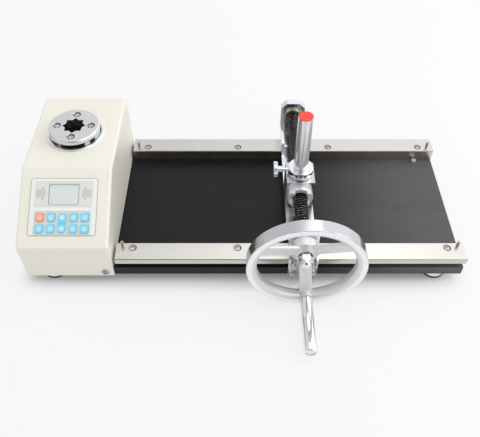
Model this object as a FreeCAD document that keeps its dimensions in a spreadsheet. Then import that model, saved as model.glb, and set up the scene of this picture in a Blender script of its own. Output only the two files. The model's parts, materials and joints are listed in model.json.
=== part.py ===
import FreeCAD, Part
import math
import os
import re

import Sketcher

# Torque wrench calibrator, in millimetres. +Z is up, +X runs along the rails away from the
# housing, -Y faces the person who turns the handwheel. The origin lies on the bench, under
# the middle of the whole instrument.

SIZES = {
    # Places of the drive, of the line midway between the rails, and of the carriage at rest
    "drive_x": -279.7,
    "drive_y": 102.5,
    "rails_y": 49.0,
    "carriage_x": 93.3,
    # Bench feet
    "foot_height": 21.0,
    "foot_radius": 18.5,
    "foot_neck_radius": 13.0,
    "foot_inset_x": 36.0,
    "foot_inset_y": 25.0,
    "foot_pad_thickness": 4.0,
    "foot_pad_overhang": 0.5,
    "foot_pad_hole": 7.0,
    "foot_screw_head_height": 3.0,
    # Base plate, its edges measured from the drive axis and from the middle of the rails
    "plate_thickness": 17.0,
    "plate_left": 68.0,
    "rail_overhang": 1.0,
    "plate_front": 142.0,
    "plate_rear": 147.0,
    "plate_screw_inset": 33.0,
    "plate_screw_gap": 2.6,
    # Stepped rails: a narrow foot below a wider cap that overhangs on the outer side
    "rail_length": 555.0,
    "rail_start": 77.0,
    "rail_inner": 108.5,
    "rail_foot_width": 25.0,
    "rail_cap_width": 34.0,
    "rail_foot_height": 10.5,
    "rail_cap_height": 10.5,
    "rail_edge": 1.0,
    "rail_screw_first": 26.0,
    "rail_screw_last": 28.0,
    "rail_screw_inset": 10.5,
    "rail_screw_depth": 12.0,
    "stop_pin_inset": 10.0,
    "stop_pin_front": 6.0,
    "stop_pin_rear": 12.5,
    "stop_pin_radius": 2.5,
    "stop_pin_rise": 9.5,
    "stop_pin_depth": 9.0,
    # Socket cap screws: shank, head and the clearance of the holes
    "small_shank": 2.5,
    "small_head": 4.25,
    "small_head_height": 5.0,
    "rail_shank": 3.0,
    "rail_head": 6.2,
    "rail_head_height": 6.0,
    "large_shank": 4.0,
    "large_head": 6.5,
    "large_head_height": 8.0,
    "hole_clearance": 0.3,
    "thread_clearance": 0.05,
    "thread_runout": 1.0,
    "edge_break": 1.0,
    "recess_clearance": 0.6,
    # Sheet-metal housing
    "housing_wall": 2.0,
    "housing_bottom": 19.0,
    "housing_height": 150.5,
    "housing_front_height": 88.7,
    "housing_bend": 30.0,
    "housing_right": 72.5,
    "housing_edge": 4.0,
    "cover_screw_head": 6.3,
    "cover_screw_face": 4.41,
    "cover_screw_flats": 3.25,
    "cover_screw_rise": 2.6,
    "cover_screw_depth": 10.0,
    "cover_screw_inset": 14.0,
    "cover_screw_height": 28.5,
    "cover_screw_side": 100.0,
    # Drive: star flange, trim ring and torque sensor
    "drive_radius": 42.0,
    "drive_rise": 16.0,
    "drive_thickness": 17.0,
    "drive_edge": 1.5,
    "drive_square": 27.0,
    "drive_screw_circle": 28.0,
    "drive_screw_recess": 7.5,
    "drive_screw_depth": 8.0,
    "trim_gap": 0.5,
    "trim_width": 5.5,
    "trim_thickness": 2.5,
    "trim_lip": 1.5,
    "sensor_top_radius": 40.0,
    "sensor_top_thickness": 12.0,
    "sensor_neck_radius": 28.0,
    "sensor_bore_radius": 21.0,
    "sensor_cone": 8.0,
    "sensor_base_radius": 55.0,
    "sensor_base_thickness": 14.0,
    "sensor_screw_circle": 46.0,
    # Operating panel, measured up the slope from the lower bend
    "panel_width": 105.0,
    "panel_height": 92.0,
    "panel_start": 20.0,
    "panel_corner": 4.0,
    "overlay_thickness": 1.0,
    "display_width": 46.0,
    "display_height": 32.8,
    "display_centre": 85.6,
    "display_margin": 3.0,
    "display_fit": 0.05,
    "module_width": 62.0,
    "module_height": 42.0,
    "key_column_pitch": 17.4,
    "key_row_pitch": 18.0,
    "key_row_centre": 39.8,
    "key_width": 12.8,
    "key_height": 13.8,
    "key_corner": 3.0,
    "key_gap": 0.3,
    "key_rise": 1.2,
    "key_lip": 0.8,
    "key_lip_thickness": 1.2,
    "key_stem": 6.0,
    "key_travel": 0.6,
    "key_rest_gap": 0.05,
    "arrow_width": 12.0,
    "arrow_length": 15.45,
    "arrow_round": 5.4,
    "key_field_width": 90.0,
    "key_field_height": 37.0,
    "board_depth": 12.0,
    "board_thickness": 1.6,
    "board_width": 98.0,
    "board_height": 86.0,
    "pillar_radius": 3.0,
    "pillar_inset": 4.0,
    "board_shank": 1.5,
    "board_head": 2.75,
    "board_head_height": 3.0,
    "board_screw_depth": 6.0,
    "battery_width": 70.0,
    "battery_depth": 52.0,
    "battery_height": 34.0,
    "battery_inset": 14.0,
    # Switch and sockets in the rear wall
    "socket_height": 78.0,
    "socket_spacing": 38.0,
    "switch_width": 15.0,
    "switch_height": 21.0,
    "switch_wall": 1.0,
    "switch_bezel": 1.5,
    "switch_depth": 16.0,
    "rocker_width": 11.0,
    "rocker_height": 17.0,
    "rocker_thickness": 4.0,
    "rocker_rise": 1.5,
    "rocker_tilt": 6.0,
    "charge_radius": 5.5,
    "charge_flange_radius": 7.5,
    "charge_bore": 2.9,
    "charge_depth": 14.0,
    "data_width": 31.0,
    "data_height": 12.5,
    "data_shell_width": 17.0,
    "data_shell_height": 8.4,
    "data_shell_taper": 1.5,
    "data_shell_gap": 1.0,
    "data_rise": 1.0,
    "data_shell_rise": 5.5,
    "data_shell_wall": 0.8,
    "data_depth": 10.0,
    # Carriage frame: places along Y are measured from the middle of the rails
    "slide_gap": 0.1,
    "frame_width": 46.0,
    "frame_front": 152.0,
    "frame_rear": 170.0,
    "cheek_thickness": 5.0,
    "cheek_front": 98.0,
    "cheek_rear": 100.0,
    "cheek_height": 26.0,
    "cheek_round": 8.0,
    "saddle_height": 11.0,
    "channel_floor": 5.0,
    "rib_rise": 3.3,
    "cross_wall": 5.0,
    "cross_wall_gap": 5.5,
    "apron_thickness": 9.0,
    "apron_drop": 10.5,
    "keeper_bottom": 31.0,
    "keeper_lip": 8.8,
    "keeper_lip_drop": 0.2,
    "keeper_lip_height": 7.8,
    "keeper_screw_spacing": 15.5,
    "groove_radius": 4.5,
    "groove_inset": 3.9,
    "groove_depth": 16.0,
    "rear_keeper_spacing": 11.0,
    "lock_screw_spacing": 16.5,
    "lock_screw_height": 34.0,
    "lock_screw_gap": 1.0,
    "slot_width": 12.0,
    "slot_margin": 1.5,
    # Bearing blocks and bushes
    "block_width": 44.0,
    "block_thickness": 13.5,
    "block_chamfer": 10.0,
    "block_rise": 26.0,
    "front_block_face": 138.5,
    "block_screw_spacing": 13.0,
    "block_screw_depth": 10.0,
    "bush_radius": 12.0,
    "bush_flange_radius": 15.0,
    "front_bush_flange": 3.0,
    "rear_bush_flange": 5.0,
    "running_gap": 0.05,
    "end_gap": 0.1,
    # Lead screw and handwheel
    "screw_radius": 11.0,
    "journal_radius": 8.0,
    "stud_radius": 6.0,
    "stud_end": 176.0,
    "wheel_radius": 90.0,
    "wheel_turn": 4.0,
    "rim_front": 187.5,
    "rim_depth": 21.0,
    "rim_width": 16.2,
    "rim_round": 8.0,
    "rim_edge": 1.0,
    "hub_radius": 21.0,
    "hub_front_radius": 15.0,
    "hub_front": 163.0,
    "hub_recess_radius": 11.5,
    "hub_recess": 5.0,
    "hub_gap": 0.5,
    "spoke_width": 20.0,
    "spoke_thickness": 7.0,
    "spoke_hub_radius": 15.0,
    "spoke_hub_plane": 156.0,
    "spoke_rim_radius": 76.0,
    "spoke_rim_plane": 177.0,
    "spoke_edge": 2.5,
    "wheel_key_width": 5.0,
    "wheel_key_height": 5.0,
    "wheel_key_seat": 3.0,
    "wheel_key_end": 2.0,
    "nut_flats": 19.0,
    "dome_radius": 9.3,
    "nut_hex_height": 16.5,
    # Crank handle
    "crank_radius": 77.5,
    "crank_boss_radius": 11.0,
    "crank_boss_rise": 0.5,
    "handle_radius": 10.5,
    "handle_tip_radius": 10.3,
    "handle_tip": 281.5,
    "handle_gap": 0.2,
    "handle_edge": 1.0,
    "handle_recess": 4.0,
    "handle_recess_radius": 7.0,
    "crank_stud_radius": 5.0,
    "crank_thread_radius": 4.0,
    "crank_thread_length": 15.0,
    "crank_head_radius": 6.6,
    "crank_head_thickness": 3.0,
    # Nut slide and reaction post
    "nut_block_front": 33.5,
    "nut_block_length": 47.5,
    "nut_travel_front": 53.0,
    "nut_travel_rear": 83.0,
    "nut_flange_radius": 21.0,
    "nut_flange_thickness": 10.0,
    "nut_barrel_radius": 14.0,
    "nut_barrel_length": 36.0,
    "nut_mouth": 3.0,
    "nut_screw_circle": 17.5,
    "nut_screw_head": 3.4,
    "nut_screw_head_height": 4.0,
    "nut_screw_shank": 2.0,
    "nut_screw_depth": 20.0,
    "tongue_drop": 7.4,
    "collar_radius": 20.5,
    "collar_height": 14.5,
    "collar_edge": 1.5,
    "collar_groove": 1.5,
    "post_radius": 11.5,
    "post_shank": 11.0,
    "post_relief": 0.5,
    "post_top": 237.0,
    "post_floor": 1.5,
    "cap_thickness": 1.5,
    "cap_inset": 0.3,
    "cap_stem_radius": 8.0,
    "cap_stem": 10.0,
    "thumb_height": 7.5,
    "thumb_shaft": 3.0,
    "thumb_neck": 5.5,
    "thumb_head": 12.5,
    "thumb_neck_start": 30.4,
    "thumb_head_start": 37.5,
    "thumb_end": 44.0,
}

AXES = {
    "+x": (1, 0, 0),
    "-x": (-1, 0, 0),
    "+y": (0, 1, 0),
    "-y": (0, -1, 0),
    "+z": (0, 0, 1),
    "-z": (0, 0, -1),
}
OPPOSITE = {"+x": "-x", "-x": "+x", "+y": "-y", "-y": "+y", "+z": "-z", "-z": "+z"}

# Levels above the bench and other places that several pieces share
PLATE_TOP = "(foot_height + plate_thickness)"
PLATE_RIGHT = "(rail_start + rail_length - rail_overhang)"
CAP_UNDER = f"({PLATE_TOP} + rail_foot_height)"
RAIL_TOP = f"({CAP_UNDER} + rail_cap_height)"
FRAME_UNDER = f"({RAIL_TOP} + slide_gap)"
FRAME_TOP = f"({RAIL_TOP} + saddle_height)"
CHEEK_TOP = f"({RAIL_TOP} + cheek_height)"
CHANNEL_TOP = f"({FRAME_UNDER} + channel_floor)"
RIB_TOP = f"({CHANNEL_TOP} + rib_rise)"
NUT_UNDER = f"({RIB_TOP} + slide_gap)"
SPINDLE_Z = f"({NUT_UNDER} + block_rise)"
BLOCK_TOP = f"({SPINDLE_Z} + block_rise)"
CROSS_TOP = f"({SPINDLE_Z} - screw_radius - cross_wall_gap)"
RAIL_OUTER = "(rail_inner + rail_cap_width)"
RAIL_FOOT_OUTER = "(rail_inner + rail_foot_width)"
RAIL_SCREW_PITCH = "((rail_length - rail_screw_first - rail_screw_last) / 3)"
APRON_REAR = "(frame_front - apron_thickness)"
APRON_UNDER = f"({RAIL_TOP} - apron_drop)"
KEEPER_LIP_TOP = f"({CAP_UNDER} - keeper_lip_drop)"
KEEPER_LIP_UNDER = f"({KEEPER_LIP_TOP} - keeper_lip_height)"
HOUSING_FRONT = "(plate_front + housing_wall)"
HOUSING_REAR = "(plate_rear + housing_wall)"
HOUSING_LEFT = "(plate_left + housing_wall)"
SLOPE = f"atan2(housing_height - housing_front_height; {HOUSING_FRONT} - housing_bend)"
DRIVE_TOP = "(housing_height + drive_rise)"
DRIVE_UNDER = f"({DRIVE_TOP} - drive_thickness)"
SENSOR_TOP_UNDER = f"({DRIVE_UNDER} - sensor_top_thickness)"
TRIM_BORE = "(drive_radius + trim_gap)"
CARRIAGE = ("carriage_x", "rails_y", "0")
SPINDLE = ("carriage_x", "rails_y", SPINDLE_Z)
FRONT_BLOCK_REAR = "(front_block_face - block_thickness)"
HUB_REAR = "(front_block_face + hub_gap)"
SHOULDER = f"({FRONT_BLOCK_REAR} - front_bush_flange - end_gap)"
REAR_SHOULDER = "(frame_rear - rear_bush_flange - end_gap)"
RECESS_FLOOR = "(hub_front - hub_recess)"
RIM_REAR = "(rim_front - rim_depth)"
RIM_INNER = "(wheel_radius - rim_width)"
BOSS_FRONT = "(rim_front + crank_boss_rise)"
CRANK_X = "(carriage_x + crank_radius * sin(wheel_turn))"
CRANK_Z = f"({SPINDLE_Z} - crank_radius * cos(wheel_turn))"
NUT_MIDDLE = "(nut_block_length / 2 - nut_block_front)"
POST_Y = f"(rails_y + {NUT_MIDDLE})"
POST_BASE = f"({SPINDLE_Z} + nut_barrel_radius + post_floor)"
POST_TOP = "(post_top - cap_thickness)"
POST_SHOULDER = f"({BLOCK_TOP} + collar_height + post_relief)"
THUMB_Z = f"({BLOCK_TOP} + thumb_height)"
PANEL = ("drive_x", f"rails_y - {HOUSING_FRONT}", "housing_front_height")
REAR_WALL = f"(rails_y + {HOUSING_REAR})"

os.makedirs("parts", exist_ok=True)
doc = FreeCAD.newDocument("TorqueWrenchCalibrator")
sheet = doc.addObject("Spreadsheet::Sheet", "Sizes")
nodes = []


def fill_sheet():
    """Write every size to the sheet, with its name as the alias of its cell."""
    for row, (name, size) in enumerate(SIZES.items(), 1):
        sheet.set(f"A{row}", name)
        sheet.set(f"B{row}", str(size))
        sheet.setAlias(f"B{row}", name)
    doc.recompute()


def cells(text):
    """The expression in which each size's name points to its cell."""
    return re.sub(r"[a-z_]\w*", lambda word: f"Sizes.{word[0]}" if word[0] in SIZES else word[0], text)


def value(text):
    """What an expression on the sheet comes to."""
    result = sheet.evalExpression(cells(text))
    return float(getattr(result, "Value", result))


def bind(target, **properties):
    """Tie properties of an object to expressions on the sheet."""
    for name, text in properties.items():
        target.setExpression(name, cells(text))
    return target


def place(target, at, axis=None, angle=None):
    """Put an object at a place, turned by an angle about an axis when both are given."""
    if angle is not None:
        turn = FreeCAD.Rotation(FreeCAD.Vector(*axis), value(angle))
        target.Placement = FreeCAD.Placement(FreeCAD.Vector(), turn)
        target.setExpression("Placement.Rotation.Angle", cells(angle))
    for letter, text in zip("xyz", at):
        target.setExpression(f"Placement.Base.{letter}", cells(text))
    return target


def node(target):
    """Keep an object as one sub-part of the instrument."""
    nodes.append(target)
    return target


def shifted(at, axis, distance):
    """A place moved along one of the named axes."""
    return tuple(f"{text} + {step} * ({distance})" if step else text for text, step in zip(at, AXES[axis]))


# Primitives and booleans

def cylinder(name, at, axis, radius, height):
    """A cylinder whose base is centred at a place and which runs along a named axis."""
    solid = bind(doc.addObject("Part::Cylinder", name), Radius=radius, Height=height)
    turn = FreeCAD.Rotation(FreeCAD.Vector(0, 0, 1), FreeCAD.Vector(*AXES[axis]))
    solid.Placement = FreeCAD.Placement(FreeCAD.Vector(), turn)
    return place(solid, at)


def prism(name, at, axis, flats, height):
    """A hexagonal prism of a size across flats."""
    solid = doc.addObject("Part::Prism", name)
    solid.Polygon = 6
    bind(solid, Circumradius=f"({flats}) / sqrt(3)", Height=height)
    turn = FreeCAD.Rotation(FreeCAD.Vector(0, 0, 1), FreeCAD.Vector(*AXES[axis]))
    solid.Placement = FreeCAD.Placement(FreeCAD.Vector(), turn)
    return place(solid, at)


def cone(name, at, axis, radius, end_radius, height):
    """A cone from one radius to another along a named axis."""
    solid = bind(doc.addObject("Part::Cone", name), Radius1=radius, Radius2=end_radius, Height=height)
    turn = FreeCAD.Rotation(FreeCAD.Vector(0, 0, 1), FreeCAD.Vector(*AXES[axis]))
    solid.Placement = FreeCAD.Placement(FreeCAD.Vector(), turn)
    return place(solid, at)


def box(name, at, size):
    """A box from its low corner."""
    solid = bind(doc.addObject("Part::Box", name), Length=size[0], Width=size[1], Height=size[2])
    return place(solid, at)


def centred_box(name, centre, size):
    """A box centred across X and Y on a place, standing on it."""
    at = (f"{centre[0]} - ({size[0]}) / 2", f"{centre[1]} - ({size[1]}) / 2", centre[2])
    return box(name, at, size)


def fuse(name, solids):
    """The union of touching solids."""
    union = doc.addObject("Part::MultiFuse", name)
    union.Shapes = solids
    return union


def cut(name, base, tools):
    """A base with tools taken out of it."""
    result = doc.addObject("Part::Cut", name)
    result.Base = base
    result.Tool = tools[0] if len(tools) == 1 else fuse(name + "_tools", tools)
    return result


def group(name, solids):
    """Separate solids of one kind, kept as one sub-part."""
    result = doc.addObject("Part::Compound", name)
    result.Links = solids
    return node(result)


def cap_screw(name, at, axis, shank, head, head_height, length):
    """A socket cap screw whose head stands on a place and whose shank runs along an axis."""
    back = OPPOSITE[axis]
    body = cylinder(name + "_shank", at, axis, shank, length)
    top = cylinder(name + "_head", at, back, head, head_height)
    socket = prism(name + "_socket", shifted(at, back, f"({head_height}) / 2"), back, head, head_height)
    return cut(name, fuse(name + "_blank", [top, body]), [socket])


def cap_screws(name, places, axis, kind, length):
    """A group of equal cap screws of the small, rail or large kind."""
    sizes = (f"{kind}_shank", f"{kind}_head", f"{kind}_head_height")
    screws = [cap_screw(f"{name}_{count}", at, axis, *sizes, length) for count, at in enumerate(places, 1)]
    return group(name, screws)


# Bodies made from sketches

def new_body(name, at, axis=None, angle=None):
    """A body whose origin is at a place."""
    body = place(doc.addObject("PartDesign::Body", name), at, axis, angle)
    body.Label = name
    return body


def new_sketch(body, plane, offset="0"):
    """A sketch on one of a body's own origin planes, moved along the plane's normal."""
    sketch = body.newObject("Sketcher::SketchObject", body.Label + "_sketch")
    support = next(part for part in body.Origin.OriginFeatures if part.Role == plane + "_Plane")
    sketch.AttachmentSupport = (support, "")
    sketch.MapMode = "FlatFace"
    sketch.setExpression("AttachmentOffset.Base.z", cells(offset))
    return sketch


def hold(sketch, element, point, across, up):
    """Hold a point of a sketch at two distances from the sketch's origin."""
    for kind, text in (("DistanceX", across), ("DistanceY", up)):
        number = sketch.addConstraint(Sketcher.Constraint(kind, -1, 1, element, point, value(text)))
        sketch.setExpression(f"Constraints[{number}]", cells(text))


def outline(sketch, corners):
    """A closed outline of straight lines through corners."""
    spots = [FreeCAD.Vector(value(across), value(up), 0) for across, up in corners]
    first = sketch.GeometryCount
    for start, end in zip(spots, spots[1:] + spots[:1]):
        sketch.addGeometry(Part.LineSegment(start, end))
    for count, (across, up) in enumerate(corners):
        following = first + (count + 1) % len(corners)
        sketch.addConstraint(Sketcher.Constraint("Coincident", first + count, 2, following, 1))
        hold(sketch, first + count, 1, across, up)
    return sketch


def rectangle(sketch, centre, size):
    """A rectangle about a centre."""
    across = [f"{centre[0]} - ({size[0]}) / 2", f"{centre[0]} + ({size[0]}) / 2"]
    up = [f"{centre[1]} - ({size[1]}) / 2", f"{centre[1]} + ({size[1]}) / 2"]
    return outline(sketch, [(across[0], up[0]), (across[1], up[0]), (across[1], up[1]), (across[0], up[1])])


def circle(sketch, centre, radius):
    """A circle about a centre."""
    middle = FreeCAD.Vector(value(centre[0]), value(centre[1]), 0)
    number = sketch.addGeometry(Part.Circle(middle, FreeCAD.Vector(0, 0, 1), value(radius)))
    hold(sketch, number, 3, *centre)
    constraint = sketch.addConstraint(Sketcher.Constraint("Radius", number, value(radius)))
    sketch.setExpression(f"Constraints[{constraint}]", cells(radius))
    return sketch


def extrude(kind, sketch, length, both_sides=False, reverse=False):
    """Pad or pocket a sketch, to one side of its plane or evenly to both."""
    body = sketch.getParentGeoFeatureGroup()
    feature = body.newObject("PartDesign::" + kind, f"{body.Label}_{kind.lower()}")
    feature.Profile = sketch
    bind(feature, Length=length)
    feature.SideType = "Symmetric" if both_sides else "One side"
    feature.Reversed = reverse
    return feature


def pad(sketch, length, both_sides=False, reverse=False):
    """Add the material that a sketch sweeps over a length."""
    return extrude("Pad", sketch, length, both_sides, reverse)


def pocket(sketch, length, both_sides=False, reverse=False):
    """Remove the material that a sketch sweeps over a length."""
    return extrude("Pocket", sketch, length, both_sides, reverse)


def revolve(sketch, kind="Revolution"):
    """Turn a profile once round the sketch's vertical axis."""
    body = sketch.getParentGeoFeatureGroup()
    feature = body.newObject("PartDesign::" + kind, f"{body.Label}_{kind.lower()}")
    feature.Profile = sketch
    feature.ReferenceAxis = (sketch, ["V_Axis"])
    feature.Angle = 360
    return feature


def polar(body, features, axis, count):
    """Repeat features round one of the body's own origin axes."""
    pattern = body.newObject("PartDesign::PolarPattern", body.Label + "_pattern")
    pattern.Originals = features
    line = next(part for part in body.Origin.OriginFeatures if part.Role == axis + "_Axis")
    pattern.Axis = (line, [""])
    pattern.Angle = 360
    pattern.Occurrences = count
    body.Tip = pattern
    return pattern


def dress(kind, body, size, wanted):
    """Fillet or chamfer the edges of a body's last feature for which wanted is true."""
    doc.recompute()
    base = body.Tip
    names = [f"Edge{count}" for count, edge in enumerate(base.Shape.Edges, 1) if wanted(edge)]
    feature = body.newObject("PartDesign::" + kind, f"{body.Label}_{kind.lower()}")
    feature.Base = (base, names)
    bind(feature, **{"Radius" if kind == "Fillet" else "Size": size})
    return feature


def runs_along(edge, direction):
    """Whether an edge is straight and runs along a direction."""
    if edge.Curve.TypeId != "Part::GeomLine":
        return False
    return abs(abs(edge.Curve.Direction.dot(FreeCAD.Vector(*direction))) - 1) < 1e-6


# Base

def foot_places():
    """The centres of the four bench feet, at bench level."""
    across = ("drive_x - plate_left + foot_inset_x", f"drive_x + {PLATE_RIGHT} - foot_inset_x")
    along = ("rails_y - plate_front + foot_inset_y", "rails_y + plate_rear - foot_inset_y")
    return [(x, y, "0") for x in across for y in along]


def rail_places(side, inset, distances):
    """Places on one rail's top, at an inset from its inner edge and distances from its end at the housing."""
    y = f"rails_y + {side} * (rail_inner + {inset})"
    return [(f"drive_x + rail_start + {distance}", y, RAIL_TOP) for distance in distances]


def rail_screw_places():
    """The places of the eight rail screws, with the front rail's first."""
    distances = [f"rail_screw_first + {count} * {RAIL_SCREW_PITCH}" for count in range(4)]
    return rail_places(-1, "rail_screw_inset", distances) + rail_places(1, "rail_screw_inset", distances)


def stop_pin_places():
    """The places of the four stop pins, with the front rail's first."""
    distances = ["stop_pin_inset", "rail_length - stop_pin_inset"]
    return rail_places(-1, "stop_pin_front", distances) + rail_places(1, "stop_pin_rear", distances)


def sensor_screw_places():
    """The places of the sensor's six screws, on top of its base flange."""
    level = f"{PLATE_TOP} + sensor_base_thickness"
    places = []
    for turn in range(30, 390, 60):
        x = f"drive_x + sensor_screw_circle * cos({turn})"
        places.append((x, f"drive_y + sensor_screw_circle * sin({turn})", level))
    return places


def cover_screw_places():
    """Each cover screw's place on the cover's skin and the axis along which it goes in."""
    right = "drive_x + housing_right - cover_screw_inset"
    places = [((right, f"rails_y - {HOUSING_FRONT}", "cover_screw_height"), "+y")]
    places.append(((right, REAR_WALL, "cover_screw_height"), "-y"))
    for side in (-1, 1):
        place_y = f"rails_y + {side} * cover_screw_side"
        places.append(((f"drive_x - {HOUSING_LEFT}", place_y, "cover_screw_height"), "+x"))
    return places


def plate_screw_place():
    """The seat of the socket screw that stands in the plate beside the rear rail."""
    y = "rails_y + rail_inner - small_head - plate_screw_gap"
    return (f"drive_x + {PLATE_RIGHT} - plate_screw_inset", y, PLATE_TOP)


def rail_screw_seat(at):
    """The floor of a rail screw's recess."""
    return shifted(at, "-z", "rail_head_height + recess_clearance")


def make_base_plate():
    """The plate, with a blind hole for each thing that is screwed to it."""
    corner = ("drive_x - plate_left", "rails_y - plate_front", "foot_height")
    size = (f"plate_left + {PLATE_RIGHT}", "plate_front + plate_rear", "plate_thickness")
    blank = box("base_plate_blank", corner, size)
    holes = []
    for at in rail_screw_places():
        top = (at[0], at[1], PLATE_TOP)
        holes.append(cylinder("rail_hole", top, "-z", "rail_shank + thread_clearance", "rail_screw_depth"))
    for at in sensor_screw_places():
        top = (at[0], at[1], PLATE_TOP)
        holes.append(cylinder("sensor_hole", top, "-z", "large_shank + thread_clearance", "rail_screw_depth"))
    for at in foot_places():
        under = (at[0], at[1], "foot_height")
        holes.append(cylinder("foot_hole", under, "+z", "rail_shank + thread_clearance", "rail_screw_depth"))
    small_thread = "small_shank + thread_clearance"
    for at, axis in cover_screw_places():
        holes.append(cylinder("cover_hole", at, axis, small_thread, "cover_screw_depth + housing_wall"))
    holes.append(cylinder("plate_hole", plate_screw_place(), "-z", small_thread, "rail_screw_depth"))
    node(cut("base_plate", blank, holes))


def make_rail(name, side):
    """A rail ground from one bar, with its overhang on the outer side and its end pins' holes."""
    body = new_body(name, ("drive_x + rail_start", "rails_y", "0"))
    inner = f"{side} * rail_inner"
    foot = f"{side} * {RAIL_FOOT_OUTER}"
    outer = f"{side} * {RAIL_OUTER}"
    section = [
        (inner, PLATE_TOP),
        (foot, PLATE_TOP),
        (foot, CAP_UNDER),
        (outer, CAP_UNDER),
        (outer, RAIL_TOP),
        (inner, RAIL_TOP),
    ]
    pad(outline(new_sketch(body, "YZ"), section), "rail_length")
    high = value(CAP_UNDER) + 1
    dress(
        "Chamfer",
        body,
        "rail_edge",
        lambda edge: edge.CenterOfMass.z > high and runs_along(edge, (1, 0, 0)),
    )
    y = f"{side} * (rail_inner + rail_screw_inset)"
    recesses = new_sketch(body, "XY", RAIL_TOP)
    shanks = new_sketch(body, "XY", RAIL_TOP)
    pins = new_sketch(body, "XY", RAIL_TOP)
    for count in range(4):
        x = f"rail_screw_first + {count} * {RAIL_SCREW_PITCH}"
        circle(recesses, (x, y), "rail_head + recess_clearance")
        circle(shanks, (x, y), "rail_shank + hole_clearance")
    pin_inset = "stop_pin_front" if side < 0 else "stop_pin_rear"
    for x in ("stop_pin_inset", "rail_length - stop_pin_inset"):
        circle(pins, (x, f"{side} * (rail_inner + {pin_inset})"), "stop_pin_radius")
    pocket(recesses, "rail_head_height + recess_clearance")
    pocket(shanks, "rail_cap_height + rail_foot_height")
    pocket(pins, "stop_pin_depth")
    node(body)


def make_base_fasteners():
    """The screws that hold the rails and the feet, the stop pins and the lone plate screw."""
    seats = [rail_screw_seat(at) for at in rail_screw_places()]
    grip = "rail_cap_height + rail_foot_height - rail_head_height - recess_clearance"
    cap_screws("rail_screws", seats, "-z", "rail", f"{grip} + rail_screw_depth - thread_runout")
    pins = []
    length = "stop_pin_depth + stop_pin_rise"
    for count, at in enumerate(stop_pin_places(), 1):
        start = shifted(at, "-z", "stop_pin_depth")
        pins.append(cylinder(f"stop_pin_{count}", start, "+z", "stop_pin_radius", length))
    group("stop_pins", pins)
    cap_screws("plate_screw", [plate_screw_place()], "-z", "small", "rail_screw_depth - thread_runout")


def make_feet():
    """Four feet: a flared cup, a rubber pad in its wide end and a screw up through both."""
    cups, pads, screws = [], [], []
    for count, at in enumerate(foot_places(), 1):
        seat = shifted(at, "+z", "foot_pad_thickness")
        height = "foot_height - foot_pad_thickness"
        cup = cone(f"foot_cup_{count}_blank", seat, "+z", "foot_radius", "foot_neck_radius", height)
        hole = cylinder(f"foot_cup_{count}_hole", seat, "+z", "rail_shank + hole_clearance", height)
        cups.append(cut(f"foot_cup_{count}", cup, [hole]))
        overhung = "foot_radius + foot_pad_overhang"
        disc = cylinder(f"foot_pad_{count}_blank", at, "+z", overhung, "foot_pad_thickness")
        well = cylinder(f"foot_pad_{count}_hole", at, "+z", "foot_pad_hole", "foot_pad_thickness")
        pads.append(cut(f"foot_pad_{count}", disc, [well]))
        length = f"{height} + rail_screw_depth - thread_runout"
        shank = cylinder(f"foot_screw_{count}_shank", seat, "+z", "rail_shank", length)
        head = cylinder(f"foot_screw_{count}_head", seat, "-z", "rail_head", "foot_screw_head_height")
        screws.append(fuse(f"foot_screw_{count}", [shank, head]))
    group("foot_cups", cups)
    group("foot_pads", pads)
    group("foot_screws", screws)


# Housing

def housing_side(inset):
    """The housing's side outline, moved inwards by an inset above its open bottom."""
    front = f"-({HOUSING_FRONT} - {inset})"
    rear = f"({HOUSING_REAR} - {inset})"
    drop = f"{inset} / cos({SLOPE})"
    top = f"housing_height - {inset}"
    fold = f"-housing_bend + ({drop} - {inset}) / tan({SLOPE})"
    return [
        (front, "housing_bottom"),
        (rear, "housing_bottom"),
        (rear, top),
        (fold, top),
        (front, f"housing_front_height - {drop} + {inset} * tan({SLOPE})"),
    ]


def slope_sketch(body, depth="0"):
    """A sketch of the housing's body that lies on the slope, or at a depth below it."""
    sketch = new_sketch(body, "XY")
    turn = FreeCAD.Rotation(FreeCAD.Vector(1, 0, 0), value(SLOPE))
    sketch.AttachmentOffset = FreeCAD.Placement(FreeCAD.Vector(), turn)
    sketch.setExpression("AttachmentOffset.Rotation.Angle", cells(SLOPE))
    sketch.setExpression("AttachmentOffset.Base.y", cells(f"({depth}) * sin({SLOPE}) - {HOUSING_FRONT}"))
    sketch.setExpression("AttachmentOffset.Base.z", cells(f"housing_front_height - ({depth}) * cos({SLOPE})"))
    return sketch


def slope_hole(body, centre, size):
    """Cut an opening through the sloped wall of the housing."""
    return pocket(rectangle(slope_sketch(body), centre, size), "housing_wall * 3", both_sides=True)


def pillar_places():
    """The control board's four pillars, across and up the slope."""
    across = "board_width / 2 - pillar_inset"
    middle = "panel_start + panel_height / 2"
    up = "board_height / 2 - pillar_inset"
    return [(f"{x} * ({across})", f"{middle} + {y} * ({up})") for x in (-1, 1) for y in (-1, 1)]


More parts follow.
